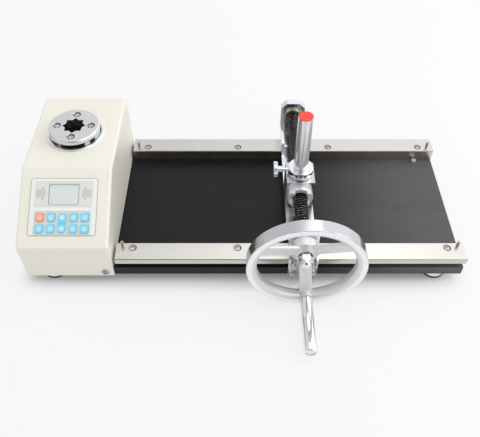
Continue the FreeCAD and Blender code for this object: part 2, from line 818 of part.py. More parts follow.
def make_housing_cover():
    """The folded cover: a closed shell, open below, cut away where the base plate leaves it."""
    body = new_body("housing_cover", ("drive_x", "rails_y", "0"))
    width = f"({HOUSING_LEFT} + housing_right)"
    skin = new_sketch(body, "YZ", f"-{HOUSING_LEFT}")
    pad(outline(skin, housing_side("0")), width)
    high = value("housing_bottom") + 1
    dress("Fillet", body, "housing_edge", lambda edge: edge.BoundBox.ZMax > high)
    cavity = new_sketch(body, "YZ", "-plate_left")
    pocket(outline(cavity, housing_side("housing_wall")), f"{width} - 2 * housing_wall", reverse=True)
    notch = new_sketch(body, "YZ", "housing_right")
    centre = ("(plate_rear - plate_front) / 2", f"({PLATE_TOP} + housing_bottom) / 2")
    rectangle(notch, centre, ("plate_front + plate_rear", f"{PLATE_TOP} - housing_bottom"))
    pocket(notch, "housing_wall")
    drive = new_sketch(body, "XY", "housing_height")
    circle(drive, ("0", "drive_y - rails_y"), f"{TRIM_BORE} + trim_lip")
    pocket(drive, "housing_wall")
    display = ("display_width + 2 * display_margin", "display_height + 2 * display_margin")
    slope_hole(body, ("0", "display_centre"), display)
    slope_hole(body, ("0", "key_row_centre"), ("key_field_width", "key_field_height"))
    pillars = slope_sketch(body, "housing_wall")
    taps = slope_sketch(body, "board_depth")
    for spot in pillar_places():
        circle(pillars, spot, "pillar_radius")
        circle(taps, spot, "board_shank + thread_clearance")
    pad(pillars, "board_depth - housing_wall", reverse=True)
    pocket(taps, "board_screw_depth + thread_runout", reverse=True)
    rear = new_sketch(body, "XZ", f"-{HOUSING_REAR}")
    switch = ("switch_width - 2 * switch_wall", "switch_height - 2 * switch_wall")
    rectangle(rear, ("socket_spacing", "socket_height"), switch)
    circle(rear, ("0", "socket_height"), "charge_radius + hole_clearance")
    shell = ("data_shell_width + 2 * data_shell_gap", "data_shell_height + 2 * data_shell_gap")
    rectangle(rear, ("-socket_spacing", "socket_height"), shell)
    pocket(rear, "housing_wall", reverse=True)
    for at, axis in cover_screw_places():
        plane, across = ("XZ", "housing_right - cover_screw_inset") if axis[1] == "y" else ("YZ", None)
        offsets = {"+y": HOUSING_FRONT, "-y": f"-{HOUSING_REAR}", "+x": f"-{HOUSING_LEFT}"}
        hole = new_sketch(body, plane, offsets[axis])
        circle(hole, (across or f"{at[1]} - rails_y", "cover_screw_height"), "small_shank + hole_clearance")
        pocket(hole, "housing_wall", reverse=axis != "+y")
    node(body)


def make_cover_screws():
    """Button-head screws that hold the cover to the edges of the base plate."""
    screws = []
    for count, (at, axis) in enumerate(cover_screw_places(), 1):
        name = f"cover_screw_{count}"
        back = OPPOSITE[axis]
        head = cone(name + "_head", at, back, "cover_screw_head", "cover_screw_face", "cover_screw_rise")
        shank = cylinder(name + "_shank", at, axis, "small_shank", "cover_screw_depth")
        floor = shifted(at, back, "cover_screw_rise / 3")
        socket = prism(name + "_socket", floor, back, "cover_screw_flats", "cover_screw_rise")
        screws.append(cut(name, fuse(name + "_blank", [head, shank]), [socket]))
    group("cover_screws", screws)


def make_drive():
    """The drive flange with its eight-pointed socket, the trim ring and the sensor below."""
    flange = new_body("drive_flange", ("drive_x", "drive_y", DRIVE_TOP))
    pad(circle(new_sketch(flange, "XY"), ("0", "0"), "drive_radius"), "drive_thickness", reverse=True)
    dress("Chamfer", flange, "drive_edge", lambda edge: edge.BoundBox.ZMin > -0.1 and edge.Length > 100)
    half = "drive_square / 2"
    tip = "drive_square / sqrt(2)"
    notch = "drive_square * (1 - 1 / sqrt(2))"
    star = []
    for across, up in ((1, 0), (0, 1), (-1, 0), (0, -1)):
        left = (-up, across)
        star.append((f"{across} * {tip}", f"{up} * {tip}"))
        inset = f"({half} - {notch})"
        star.append((f"{across} * {half} + {left[0]} * {inset}", f"{up} * {half} + {left[1]} * {inset}"))
        star.append((f"{across + left[0]} * {half}", f"{up + left[1]} * {half}"))
        star.append((f"{left[0]} * {half} + {across} * {inset}", f"{left[1]} * {half} + {up} * {inset}"))
    pocket(outline(new_sketch(flange, "XY"), star), "drive_thickness")
    spot = ("drive_screw_circle", "0")
    wide = circle(new_sketch(flange, "XY"), spot, "rail_head + recess_clearance")
    recess = pocket(wide, "drive_screw_recess")
    narrow = circle(new_sketch(flange, "XY"), spot, "rail_shank + hole_clearance")
    hole = pocket(narrow, "drive_thickness")
    polar(flange, [recess, hole], "Z", 4)
    node(flange)
    floor = f"{DRIVE_TOP} - drive_screw_recess"
    seats = []
    for x, y in [(1, 0), (0, 1), (-1, 0), (0, -1)]:
        seats.append((f"drive_x + {x} * drive_screw_circle", f"drive_y + {y} * drive_screw_circle", floor))
    length = "drive_thickness - drive_screw_recess + drive_screw_depth"
    cap_screws("flange_screws", seats, "-z", "rail", length)

    ring = new_body("trim_ring", ("drive_x", "drive_y", "housing_height"))
    section = [
        (TRIM_BORE, "-housing_wall"),
        (f"{TRIM_BORE} + trim_lip - thread_clearance", "-housing_wall"),
        (f"{TRIM_BORE} + trim_lip - thread_clearance", "0"),
        (f"{TRIM_BORE} + trim_width", "0"),
        (f"{TRIM_BORE} + trim_width", "trim_thickness / 2"),
        (f"{TRIM_BORE} + trim_width - trim_thickness / 2", "trim_thickness"),
        (TRIM_BORE, "trim_thickness"),
    ]
    revolve(outline(new_sketch(ring, "XZ"), section))
    node(ring)

    sensor = new_body("torque_sensor", ("drive_x", "drive_y", "0"))
    base_top = f"{PLATE_TOP} + sensor_base_thickness"
    profile = [
        ("sensor_bore_radius", PLATE_TOP),
        ("sensor_base_radius", PLATE_TOP),
        ("sensor_base_radius", base_top),
        ("sensor_neck_radius + sensor_cone", base_top),
        ("sensor_neck_radius", f"{base_top} + sensor_cone"),
        ("sensor_neck_radius", f"{SENSOR_TOP_UNDER} - sensor_cone"),
        ("sensor_neck_radius + sensor_cone", SENSOR_TOP_UNDER),
        ("sensor_top_radius", SENSOR_TOP_UNDER),
        ("sensor_top_radius", DRIVE_UNDER),
        ("sensor_bore_radius", DRIVE_UNDER),
    ]
    revolve(outline(new_sketch(sensor, "XZ"), profile))
    low = new_sketch(sensor, "XY", PLATE_TOP)
    first = ("sensor_screw_circle * cos(30)", "sensor_screw_circle * sin(30)")
    circle(low, first, "large_shank + hole_clearance")
    bottom = pocket(low, "sensor_base_thickness", reverse=True)
    polar(sensor, [bottom], "Z", 6)
    tapped = circle(new_sketch(sensor, "XY", DRIVE_UNDER), spot, "rail_shank + thread_clearance")
    top = pocket(tapped, "drive_screw_depth + thread_runout")
    polar(sensor, [top], "Z", 4)
    node(sensor)
    length = "sensor_base_thickness + rail_screw_depth - thread_runout"
    cap_screws("sensor_screws", sensor_screw_places(), "-z", "large", length)


# Operating panel: these bodies stand on the slope, with X across, Y up the slope and Z out of it

def panel_body(name, across="0", up="0"):
    """A body on the housing's slope, at distances across and up from the lower bend's middle."""
    y = f"{PANEL[1]} + ({up}) * cos({SLOPE})"
    z = f"{PANEL[2]} + ({up}) * sin({SLOPE})"
    return new_body(name, (f"{PANEL[0]} + {across}", y, z), (1, 0, 0), SLOPE)


def key_layout():
    """Every key's name, column from the middle and row, the upper row being 1."""
    upper = ["key_power", "key_unit", "key_up", "key_mode", "key_peak"]
    lower = ["key_zero", "key_store", "key_down", "key_print", "key_set"]
    layout = [(name, column - 2, 1) for column, name in enumerate(upper)]
    return layout + [(name, column - 2, -1) for column, name in enumerate(lower)]


def make_overlay():
    """The printed overlay on the slope, with an opening for the display and one for each key."""
    body = panel_body("panel_overlay", up="panel_start")
    film = rectangle(new_sketch(body, "XY"), ("0", "panel_height / 2"), ("panel_width", "panel_height"))
    pad(film, "overlay_thickness")
    dress("Fillet", body, "panel_corner", lambda edge: runs_along(edge, (0, 0, 1)))
    openings = new_sketch(body, "XY", "overlay_thickness")
    fit = ("display_width + 2 * display_fit", "display_height + 2 * display_fit")
    rectangle(openings, ("0", "display_centre - panel_start"), fit)
    for name, column, row in key_layout():
        centre = (f"{column} * key_column_pitch", f"key_row_centre - panel_start + {row} * key_row_pitch / 2")
        if column:
            rectangle(openings, centre, ("key_width + 2 * key_gap", "key_height + 2 * key_gap"))
    pill = ("arrow_width + 2 * key_gap", "2 * arrow_length + 2 * key_gap")
    rectangle(openings, ("0", "key_row_centre - panel_start"), pill)
    pocket(openings, "overlay_thickness")
    sides = (value("arrow_width / 2 + key_gap") + 0.1, value("panel_width / 2 - panel_corner") - 0.1)

    def in_keys(edge, low, high):
        """Whether an upright edge stands in the key field, at a distance between two from its middle."""
        across, up = abs(edge.CenterOfMass.x), edge.CenterOfMass.y
        return runs_along(edge, (0, 0, 1)) and low < across < high and up < value("key_field_height")

    dress("Fillet", body, "key_corner + key_gap", lambda edge: in_keys(edge, *sides))
    dress("Fillet", body, "arrow_round + key_gap", lambda edge: in_keys(edge, 0, sides[0]))
    node(body)


def make_key(name, column, row):
    """A key: a cap in its opening, a lip below the overlay and a stem down to the board."""
    arrow = column == 0
    centre = f"key_row_centre + {row} * key_row_pitch / 2"
    body = panel_body(name, f"{column} * key_column_pitch", "key_row_centre" if arrow else centre)
    size = ("key_width", "key_height")
    middle = ("0", "0")
    if arrow:
        size = ("arrow_width", "arrow_length - key_gap / 2")
        middle = ("0", f"{row} * (arrow_length + key_gap / 2) / 2")
    lip_top = "-key_rest_gap"
    cap = rectangle(new_sketch(body, "XY", lip_top), middle, size)
    pad(cap, "overlay_thickness + key_rise + key_rest_gap")
    lip_size = ("key_width + 2 * key_lip", "key_height + 2 * key_lip")
    if arrow:
        lip_size = ("arrow_width + 2 * key_lip", "arrow_length - key_gap")
        end = value("arrow_length") / 2
        dress(
            "Fillet",
            body,
            "arrow_round",
            lambda edge: runs_along(edge, (0, 0, 1)) and edge.CenterOfMass.y * row > end,
        )
    else:
        dress("Fillet", body, "key_corner", lambda edge: runs_along(edge, (0, 0, 1)))
    pad(rectangle(new_sketch(body, "XY", lip_top), middle, lip_size), "key_lip_thickness", reverse=True)
    lip_under = f"{lip_top} - key_lip_thickness"
    stem = rectangle(new_sketch(body, "XY", lip_under), middle, ("key_stem", "key_stem"))
    pad(stem, "board_depth - key_lip_thickness - 2 * key_rest_gap - key_travel", reverse=True)
    node(body)


def make_electronics():
    """The display with its window, the control board behind the keys and the battery pack."""
    centre = ("0", "0")
    display = ("display_width", "display_height")
    window = panel_body("display_window", up="display_centre")
    pad(rectangle(new_sketch(window, "XY"), centre, display), "overlay_thickness")
    node(window)

    module = panel_body("display_module", up="display_centre")
    back = rectangle(new_sketch(module, "XY", "-housing_wall"), centre, ("module_width", "module_height"))
    pad(back, "board_depth - housing_wall", reverse=True)
    pad(rectangle(new_sketch(module, "XY", "-housing_wall"), centre, display), "housing_wall")
    node(module)

    board = panel_body("control_board", up="panel_start + panel_height / 2")
    blank = rectangle(new_sketch(board, "XY", "-board_depth"), centre, ("board_width", "board_height"))
    pad(blank, "board_thickness", reverse=True)
    holes = new_sketch(board, "XY", "-board_depth")
    for across, up in pillar_places():
        circle(holes, (across, f"{up} - panel_start - panel_height / 2"), "board_shank + hole_clearance")
    pocket(holes, "board_thickness")
    node(board)

    screws = []
    under = "-board_depth - board_thickness"
    head = ("board_shank", "board_head", "board_head_height")
    length = "board_thickness + board_screw_depth"
    for count, spot in enumerate(pillar_places(), 1):
        screws.append(cap_screw(f"board_screw_{count}", (*spot, under), "+z", *head, length))
    place(group("board_screws", screws), PANEL, (1, 0, 0), SLOPE)


def make_battery():
    """The battery pack, on the base plate below the panel."""
    centre = ("drive_x", "rails_y - plate_front + battery_inset + battery_depth / 2", PLATE_TOP)
    node(centred_box("battery_pack", centre, ("battery_width", "battery_depth", "battery_height")))


def make_rear_sockets():
    """The power switch and its rocker, the charging socket and the data socket in the rear wall."""
    at = ("drive_x + socket_spacing", REAR_WALL, "socket_height")
    case = new_body("switch_body", at)
    inner = ("switch_width - 2 * switch_wall", "switch_height - 2 * switch_wall")
    bezel = rectangle(new_sketch(case, "XZ"), ("0", "0"), ("switch_width", "switch_height"))
    pad(bezel, "switch_bezel", reverse=True)
    snug = (f"{inner[0]} - 2 * thread_clearance", f"{inner[1]} - 2 * thread_clearance")
    pad(rectangle(new_sketch(case, "XZ"), ("0", "0"), snug), "switch_depth")
    well = ("rocker_width + 2 * key_gap", "rocker_height + 4 * key_gap")
    opening = rectangle(new_sketch(case, "XZ", "-switch_bezel"), ("0", "0"), well)
    pocket(opening, "switch_depth / 2 + switch_bezel", reverse=True)
    node(case)

    rocker = new_body("power_rocker", at, (1, 0, 0), "-rocker_tilt")
    half = "rocker_height / 2"
    crest = f"switch_bezel + rocker_rise - {half} * tan(rocker_tilt)"
    section = [
        ("switch_bezel - rocker_thickness", f"-{half} + edge_break"),
        ("switch_bezel - rocker_thickness", f"{half} - edge_break"),
        ("switch_bezel + rocker_rise", half),
        (crest, "0"),
        ("switch_bezel + rocker_rise", f"-{half}"),
    ]
    pad(outline(new_sketch(rocker, "YZ"), section), "rocker_width", both_sides=True)
    node(rocker)

    centre = ("drive_x", REAR_WALL, "socket_height")
    barrel = cylinder("charge_barrel", centre, "-y", "charge_radius", "charge_depth")
    flange = cylinder("charge_flange", centre, "+y", "charge_flange_radius", "switch_bezel")
    mouth = shifted(centre, "+y", "switch_bezel")
    bore = cylinder("charge_bore", mouth, "-y", "charge_bore", "charge_depth - edge_break")
    node(cut("charge_socket", fuse("charge_blank", [barrel, flange]), [bore]))

    data = new_body("data_socket", ("drive_x - socket_spacing", REAR_WALL, "socket_height"))
    base = rectangle(new_sketch(data, "XZ"), ("0", "0"), ("data_width", "data_height"))
    pad(base, "data_rise", reverse=True)
    half_width = "data_shell_width / 2"
    half_height = "data_shell_height / 2"
    shell = [
        (f"-{half_width}", half_height),
        (half_width, half_height),
        (f"{half_width} - data_shell_taper", f"-{half_height}"),
        (f"-{half_width} + data_shell_taper", f"-{half_height}"),
    ]
    pad(outline(new_sketch(data, "XZ"), shell), "data_shell_rise", reverse=True)
    back = rectangle(new_sketch(data, "XZ"), ("0", "0"), ("data_shell_width", "data_shell_height"))
    pad(back, "data_depth")
    wall = "data_shell_wall"
    inside = [
        (f"-{half_width} + {wall}", f"{half_height} - {wall}"),
        (f"{half_width} - {wall}", f"{half_height} - {wall}"),
        (f"{half_width} - data_shell_taper - {wall}", f"-{half_height} + {wall}"),
        (f"-{half_width} + data_shell_taper + {wall}", f"-{half_height} + {wall}"),
    ]
    mouth = outline(new_sketch(data, "XZ", "-data_shell_rise"), inside)
    pocket(mouth, "data_shell_rise - data_rise", reverse=True)
    node(data)


# Carriage

def make_carriage_frame():
    """The cross frame: saddles and cheeks over both rails, a ribbed channel between them and aprons."""
    body = new_body("carriage_frame", CARRIAGE)
    side = [
        ("-frame_front", APRON_UNDER),
        (f"-{APRON_REAR}", APRON_UNDER),
        (f"-{APRON_REAR}", FRAME_UNDER),
        (APRON_REAR, FRAME_UNDER),
        (APRON_REAR, APRON_UNDER),
        ("frame_front", APRON_UNDER),
        ("frame_front", FRAME_UNDER),
        ("frame_rear", FRAME_UNDER),
        ("frame_rear", CHEEK_TOP),
        ("cheek_rear", CHEEK_TOP),
        ("cheek_rear", RIB_TOP),
        ("-cheek_front", RIB_TOP),
        ("-cheek_front", CHEEK_TOP),
        (f"-{FRONT_BLOCK_REAR}", CHEEK_TOP),
        (f"-{FRONT_BLOCK_REAR}", FRAME_TOP),
        ("-frame_front", FRAME_TOP),
    ]
    pad(outline(new_sketch(body, "YZ"), side), "frame_width", both_sides=True)
    cheek_ends = (-value("cheek_front"), value("cheek_rear"))

    def rounded(edge):
        """Whether an edge is the top corner of a cheek towards the nut."""
        middle = edge.CenterOfMass
        if not runs_along(edge, (1, 0, 0)) or abs(middle.z - value(CHEEK_TOP)) > 0.01:
            return False
        return min(abs(middle.y - end) for end in cheek_ends) < 0.01

    dress("Fillet", body, "cheek_round", rounded)
    inside = [
        (f"-{FRONT_BLOCK_REAR} - 1", FRAME_TOP),
        ("-cheek_front - cross_wall", FRAME_TOP),
        ("-cheek_front - cross_wall", CROSS_TOP),
        ("-cheek_front", CROSS_TOP),
        ("-cheek_front", CHANNEL_TOP),
        ("cheek_rear", CHANNEL_TOP),
        ("cheek_rear", CROSS_TOP),
        ("cheek_rear + cross_wall", CROSS_TOP),
        ("cheek_rear + cross_wall", FRAME_TOP),
        ("frame_rear + 1", FRAME_TOP),
        ("frame_rear + 1", f"{CHEEK_TOP} + 1"),
        (f"-{FRONT_BLOCK_REAR} - 1", f"{CHEEK_TOP} + 1"),
    ]
    pocket(outline(new_sketch(body, "YZ"), inside), "frame_width - 2 * cheek_thickness", both_sides=True)
    slot = new_sketch(body, "XY", CHANNEL_TOP)
    start = "-nut_block_front - nut_travel_front - slot_margin"
    end = "nut_block_length - nut_block_front + nut_travel_rear + slot_margin"
    rectangle(slot, ("0", f"({start} + {end}) / 2"), ("slot_width", f"{end} - ({start})"))
    pocket(slot, "channel_floor")
    grooves = new_sketch(body, "XY", FRAME_TOP)
    mouths = new_sketch(body, "XY", FRAME_TOP)
    shanks = new_sketch(body, "XY", FRAME_TOP)
    for across in (-1, 1):
        front = (f"{across} * keeper_screw_spacing", "groove_inset - frame_front")
        rear = (f"{across} * rear_keeper_spacing", "frame_front - apron_thickness / 2")
        circle(grooves, front, "groove_radius")
        rectangle(mouths, (front[0], "-frame_front"), ("2 * groove_radius", "2 * groove_inset"))
        circle(shanks, front, "small_shank + hole_clearance")
        circle(shanks, rear, "small_shank + hole_clearance")
    pocket(grooves, "groove_depth")
    pocket(mouths, "groove_depth")
    pocket(shanks, f"{FRAME_TOP} - {APRON_UNDER}")
    wells = new_sketch(body, "XY", FRAME_TOP)
    for across in (-1, 1):
        rear = (f"{across} * rear_keeper_spacing", "frame_front - apron_thickness / 2")
        circle(wells, rear, "small_head + recess_clearance")
    pocket(wells, "small_head_height + recess_clearance")
    ends = new_sketch(body, "XZ", "-frame_rear")
    unders = new_sketch(body, "XY", FRAME_UNDER)
    heads = new_sketch(body, "XY", FRAME_UNDER)
    for across in (-1, 1):
        end = (f"{across} * block_screw_spacing", f"({FRAME_UNDER} + {FRAME_TOP}) / 2")
        circle(ends, end, "small_shank + thread_clearance")
        spot = (f"{across} * block_screw_spacing", f"-{FRONT_BLOCK_REAR} - block_thickness / 2")
        circle(unders, spot, "small_shank + hole_clearance")
        circle(heads, spot, "small_head + recess_clearance")
    pocket(ends, "block_screw_depth + thread_runout", reverse=True)
    pocket(unders, "saddle_height", reverse=True)
    pocket(heads, "small_head_height + recess_clearance", reverse=True)
    node(body)


def make_keeper(name, side, bottom, spacing, inset):
    """A keeper that hangs from an apron and hooks its lip under a rail's overhang."""
    body = new_body(name, CARRIAGE)
    section = [
        (f"{side} * frame_front", bottom),
        (f"{side} * {APRON_REAR}", bottom),
        (f"{side} * {APRON_REAR}", KEEPER_LIP_UNDER),
        (f"{side} * ({APRON_REAR} - keeper_lip)", KEEPER_LIP_UNDER),
        (f"{side} * ({APRON_REAR} - keeper_lip)", KEEPER_LIP_TOP),
        (f"{side} * {APRON_REAR}", KEEPER_LIP_TOP),
        (f"{side} * {APRON_REAR}", APRON_UNDER),
        (f"{side} * frame_front", APRON_UNDER),
    ]
    if bottom == KEEPER_LIP_UNDER:
        del section[1:3]
    pad(outline(new_sketch(body, "YZ"), section), "frame_width", both_sides=True)
    holes = new_sketch(body, "XY", APRON_UNDER)
    for across in (-1, 1):
        spot = (f"{across} * {spacing}", f"{side} * (frame_front - {inset})")
        circle(holes, spot, "small_shank + thread_clearance")
    pocket(holes, f"{APRON_UNDER} - {KEEPER_LIP_UNDER} - thread_runout")
    if side < 0:
        locks = new_sketch(body, "XZ", "frame_front")
        for across in (-1, 1):
            spot = (f"{across} * lock_screw_spacing", "lock_screw_height")
            circle(locks, spot, "small_shank + thread_clearance")
        pocket(locks, "apron_thickness")
    node(body)


def make_carriage_screws():
    """The keepers' screws, the lock screws that bear on the plate's edge and the blocks' screws."""
    front_seat = f"{FRAME_TOP} - groove_depth"
    middle = "(frame_front - apron_thickness / 2)"
    seats = []
    for across in (-1, 1):
        x = f"carriage_x + {across} * keeper_screw_spacing"
        seats.append((x, "rails_y - frame_front + groove_inset", front_seat))
    lengths = [f"{front_seat} - {KEEPER_LIP_UNDER} - 2 * thread_runout"] * 2
    rear_seat = f"{FRAME_TOP} - small_head_height - recess_clearance"
    for across in (-1, 1):
        seats.append((f"carriage_x + {across} * rear_keeper_spacing", f"rails_y + {middle}", rear_seat))
    lengths += [f"{rear_seat} - {KEEPER_LIP_UNDER} - 2 * thread_runout"] * 2
    head = ("small_shank", "small_head", "small_head_height")
    screws = []
    for count, (at, length) in enumerate(zip(seats, lengths), 1):
        screws.append(cap_screw(f"keeper_screw_{count}", at, "-z", *head, length))
    group("keeper_screws", screws)

    locks = []
    reach = "frame_front + lock_screw_gap - plate_front - slide_gap"
    for count, across in enumerate((-1, 1), 1):
        x = f"carriage_x + {across} * lock_screw_spacing"
        at = (x, "rails_y - frame_front - lock_screw_gap", "lock_screw_height")
        locks.append(cap_screw(f"lock_screw_{count}", at, "+y", *head, reach))
    group("lock_screws", locks)

    blocks = []
    sunk = "small_head_height + recess_clearance"
    front_length = "saddle_height - small_head_height + block_screw_depth - 2 * thread_runout"
    rear_length = f"block_thickness - ({sunk}) + block_screw_depth"
    for count, across in enumerate((-1, 1), 1):
        x = f"carriage_x + {across} * block_screw_spacing"
        front = (x, f"rails_y - {FRONT_BLOCK_REAR} - block_thickness / 2", f"{FRAME_UNDER} + {sunk}")
        blocks.append(cap_screw(f"front_block_screw_{count}", front, "+z", *head, front_length))
        rear = (x, f"rails_y + frame_rear + block_thickness - ({sunk})", f"({FRAME_UNDER} + {FRAME_TOP}) / 2")
        blocks.append(cap_screw(f"rear_block_screw_{count}", rear, "-y", *head, rear_length))
    group("block_screws", blocks)


def block_outline(bottom):
    """The outline of a bearing block seen along the spindle, with both top corners cut off."""
    half = "block_width / 2"
    return [
        (f"-{half}", bottom),
        (half, bottom),
        (half, f"{BLOCK_TOP} - block_chamfer"),
        (f"{half} - block_chamfer", BLOCK_TOP),
        (f"-{half} + block_chamfer", BLOCK_TOP),
        (f"-{half}", f"{BLOCK_TOP} - block_chamfer"),
    ]


def make_bearing_blocks():
    """Both bearing blocks and the flanged bushes in which the spindle turns."""
    front = new_body("front_bearing_block", CARRIAGE)
    face = outline(new_sketch(front, "XZ", "front_block_face"), block_outline(FRAME_TOP))
    pad(face, "block_thickness", reverse=True)
    bore = circle(new_sketch(front, "XZ", "front_block_face"), ("0", SPINDLE_Z), "bush_radius")
    pocket(bore, "block_thickness")
    holes = new_sketch(front, "XY", FRAME_TOP)
    for across in (-1, 1):
        spot = (f"{across} * block_screw_spacing", f"-{FRONT_BLOCK_REAR} - block_thickness / 2")
        circle(holes, spot, "small_shank + thread_clearance")
    pocket(holes, "block_screw_depth", reverse=True)
    node(front)

    rear = new_body("rear_bearing_block", CARRIAGE)
    face = outline(new_sketch(rear, "XZ", "-frame_rear"), block_outline(FRAME_UNDER))
    pad(face, "block_thickness", reverse=True)
    far_face = "-frame_rear - block_thickness"
    bore = circle(new_sketch(rear, "XZ", far_face), ("0", SPINDLE_Z), "bush_radius")
    pocket(bore, "block_thickness", reverse=True)
    recesses = new_sketch(rear, "XZ", far_face)
    shanks = new_sketch(rear, "XZ", far_face)
    for across in (-1, 1):
        spot = (f"{across} * block_screw_spacing", f"({FRAME_UNDER} + {FRAME_TOP}) / 2")
        circle(recesses, spot, "small_head + recess_clearance")
        circle(shanks, spot, "small_shank + hole_clearance")
    pocket(recesses, "small_head_height + recess_clearance", reverse=True)
    pocket(shanks, "block_thickness", reverse=True)
    node(rear)

    journal = "journal_radius + running_gap"
    front_bush = new_body("front_bush", SPINDLE, (1, 0, 0), "90")
    bush = [
        (journal, f"{FRONT_BLOCK_REAR} - front_bush_flange"),
        ("bush_flange_radius", f"{FRONT_BLOCK_REAR} - front_bush_flange"),
        ("bush_flange_radius", FRONT_BLOCK_REAR),
        ("bush_radius", FRONT_BLOCK_REAR),
        ("bush_radius", f"{HUB_REAR} - end_gap"),
        (journal, f"{HUB_REAR} - end_gap"),
    ]
    revolve(outline(new_sketch(front_bush, "XZ"), bush))
    node(front_bush)

    rear_bush = new_body("rear_bush", SPINDLE, (1, 0, 0), "90")
    bush = [
        (journal, "-frame_rear - block_thickness"),
        ("bush_radius", "-frame_rear - block_thickness"),
        ("bush_radius", "-frame_rear"),
        ("bush_flange_radius", "-frame_rear"),
        ("bush_flange_radius", "-frame_rear + rear_bush_flange"),
        (journal, "-frame_rear + rear_bush_flange"),
    ]
    revolve(outline(new_sketch(rear_bush, "XZ"), bush))
    node(rear_bush)


# Spindle. These bodies lie along the spindle: their own Z points at the person who turns it

def make_lead_screw():
    """The lead screw at its thread's outer diameter, with its journals and the wheel's stud end."""
    body = new_body("lead_screw", SPINDLE, (1, 0, 0), "90")
    profile = [
        ("0", "-frame_rear - block_thickness + edge_break"),
        ("journal_radius", "-frame_rear - block_thickness + edge_break"),
        ("journal_radius", f"-{REAR_SHOULDER}"),
        ("screw_radius - edge_break", f"-{REAR_SHOULDER}"),
        ("screw_radius", f"-{REAR_SHOULDER} + edge_break"),
        ("screw_radius", f"{SHOULDER} - edge_break"),
        ("screw_radius - edge_break", SHOULDER),
        ("journal_radius", SHOULDER),
        ("journal_radius", RECESS_FLOOR),
        ("stud_radius", RECESS_FLOOR),
        ("stud_radius", "stud_end"),
        ("0", "stud_end"),
    ]
    revolve(outline(new_sketch(body, "XZ"), profile))
    seat = new_sketch(body, "XY", f"{RECESS_FLOOR} - wheel_key_end")
    rectangle(seat, ("0", "journal_radius"), ("wheel_key_width", "2 * wheel_key_seat"))
    pocket(seat, f"{RECESS_FLOOR} - wheel_key_end - {HUB_REAR} - wheel_key_end")
    node(body)

    key_length = f"{RECESS_FLOOR} - {HUB_REAR} - 2 * wheel_key_end"
    y = f"rails_y - {RECESS_FLOOR} + wheel_key_end"
    at = ("carriage_x - wheel_key_width / 2", y, f"{SPINDLE_Z} + journal_radius - wheel_key_seat")
    node(box("wheel_key", at, ("wheel_key_width", key_length, "wheel_key_height")))


def make_spoke(count):
    """One of the wheel's three flat, round-edged spokes, which leans forward from the hub to the rim."""
    arm = new_body(f"wheel_spoke_{count}", SPINDLE, (1, 0, 0), "90")
    half = "spoke_thickness / 2"
    side = [
        ("spoke_hub_radius", f"spoke_hub_plane - {half}"),
        ("spoke_rim_radius", f"spoke_rim_plane - {half}"),
        ("spoke_rim_radius", f"spoke_rim_plane + {half}"),
        ("spoke_hub_radius", f"spoke_hub_plane + {half}"),
    ]
    sketch = new_sketch(arm, "XZ")
    angle = f"90 - wheel_turn + 120 * {count}"
    turn = FreeCAD.Rotation(FreeCAD.Vector(0, -1, 0), value(angle))
    sketch.AttachmentOffset = FreeCAD.Placement(FreeCAD.Vector(), turn)
    sketch.setExpression("AttachmentOffset.Rotation.Angle", cells(angle))
    pad(outline(sketch, side), "spoke_width", both_sides=True)
    longest = value("spoke_rim_radius - spoke_hub_radius") - 0.01
    dress("Fillet", arm, "spoke_edge", lambda edge: edge.Length > longest)
    return arm


def make_handwheel():
    """The dished three-spoke wheel: a hub, leaning spokes, a round-sided rim and the crank's boss."""
    hub_body = new_body("wheel_hub", SPINDLE, (1, 0, 0), "90")
    hub = [
        ("journal_radius", HUB_REAR),
        ("hub_radius - edge_break", HUB_REAR),
        ("hub_radius", f"{HUB_REAR} + edge_break"),
        ("hub_radius", "spoke_hub_plane"),
        ("hub_front_radius", "hub_front - edge_break"),
        ("hub_front_radius - edge_break", "hub_front"),
        ("hub_recess_radius", "hub_front"),
        ("hub_recess_radius", RECESS_FLOOR),
        ("journal_radius", RECESS_FLOOR),
    ]
    revolve(outline(new_sketch(hub_body, "XZ"), hub))
    keyway = new_sketch(hub_body, "XY", RECESS_FLOOR)
    key_height = "2 * (wheel_key_height - wheel_key_seat + slide_gap)"
    rectangle(keyway, ("0", "journal_radius"), ("wheel_key_width + 2 * thread_clearance", key_height))
    pocket(keyway, f"{RECESS_FLOOR} - {HUB_REAR}")

    ring = new_body("wheel_rim", SPINDLE, (1, 0, 0), "90")
    section = [
        (RIM_INNER, RIM_REAR),
        ("wheel_radius", RIM_REAR),
        ("wheel_radius", "rim_front"),
        (RIM_INNER, "rim_front"),
    ]
    revolve(outline(new_sketch(ring, "XZ"), section))
    middle = 2 * math.pi * value("wheel_radius - rim_width / 2")
    inmost = 2 * math.pi * value(RIM_INNER) - 0.01
    dress("Fillet", ring, "rim_round", lambda edge: inmost < edge.Length < middle)
    outmost = 2 * math.pi * value("wheel_radius") - 0.01
    dress("Fillet", ring, "rim_edge", lambda edge: edge.Length > outmost)

    at = (CRANK_X, f"rails_y - {RIM_REAR}", CRANK_Z)
    boss = cylinder("crank_boss", at, "-y", "crank_boss_radius", f"{BOSS_FRONT} - {RIM_REAR}")
    at = (CRANK_X, f"rails_y - {BOSS_FRONT}", CRANK_Z)
    thread = "crank_thread_radius + thread_clearance"
    tapped = cylinder("crank_hole", at, "+y", thread, "crank_thread_length + thread_runout")
    blank = fuse("handwheel_blank", [hub_body, ring, boss] + [make_spoke(count) for count in range(3)])
    wheel = cut("handwheel", blank, [tapped])
    blank.Refine = False
    wheel.Refine = False
    node(wheel)


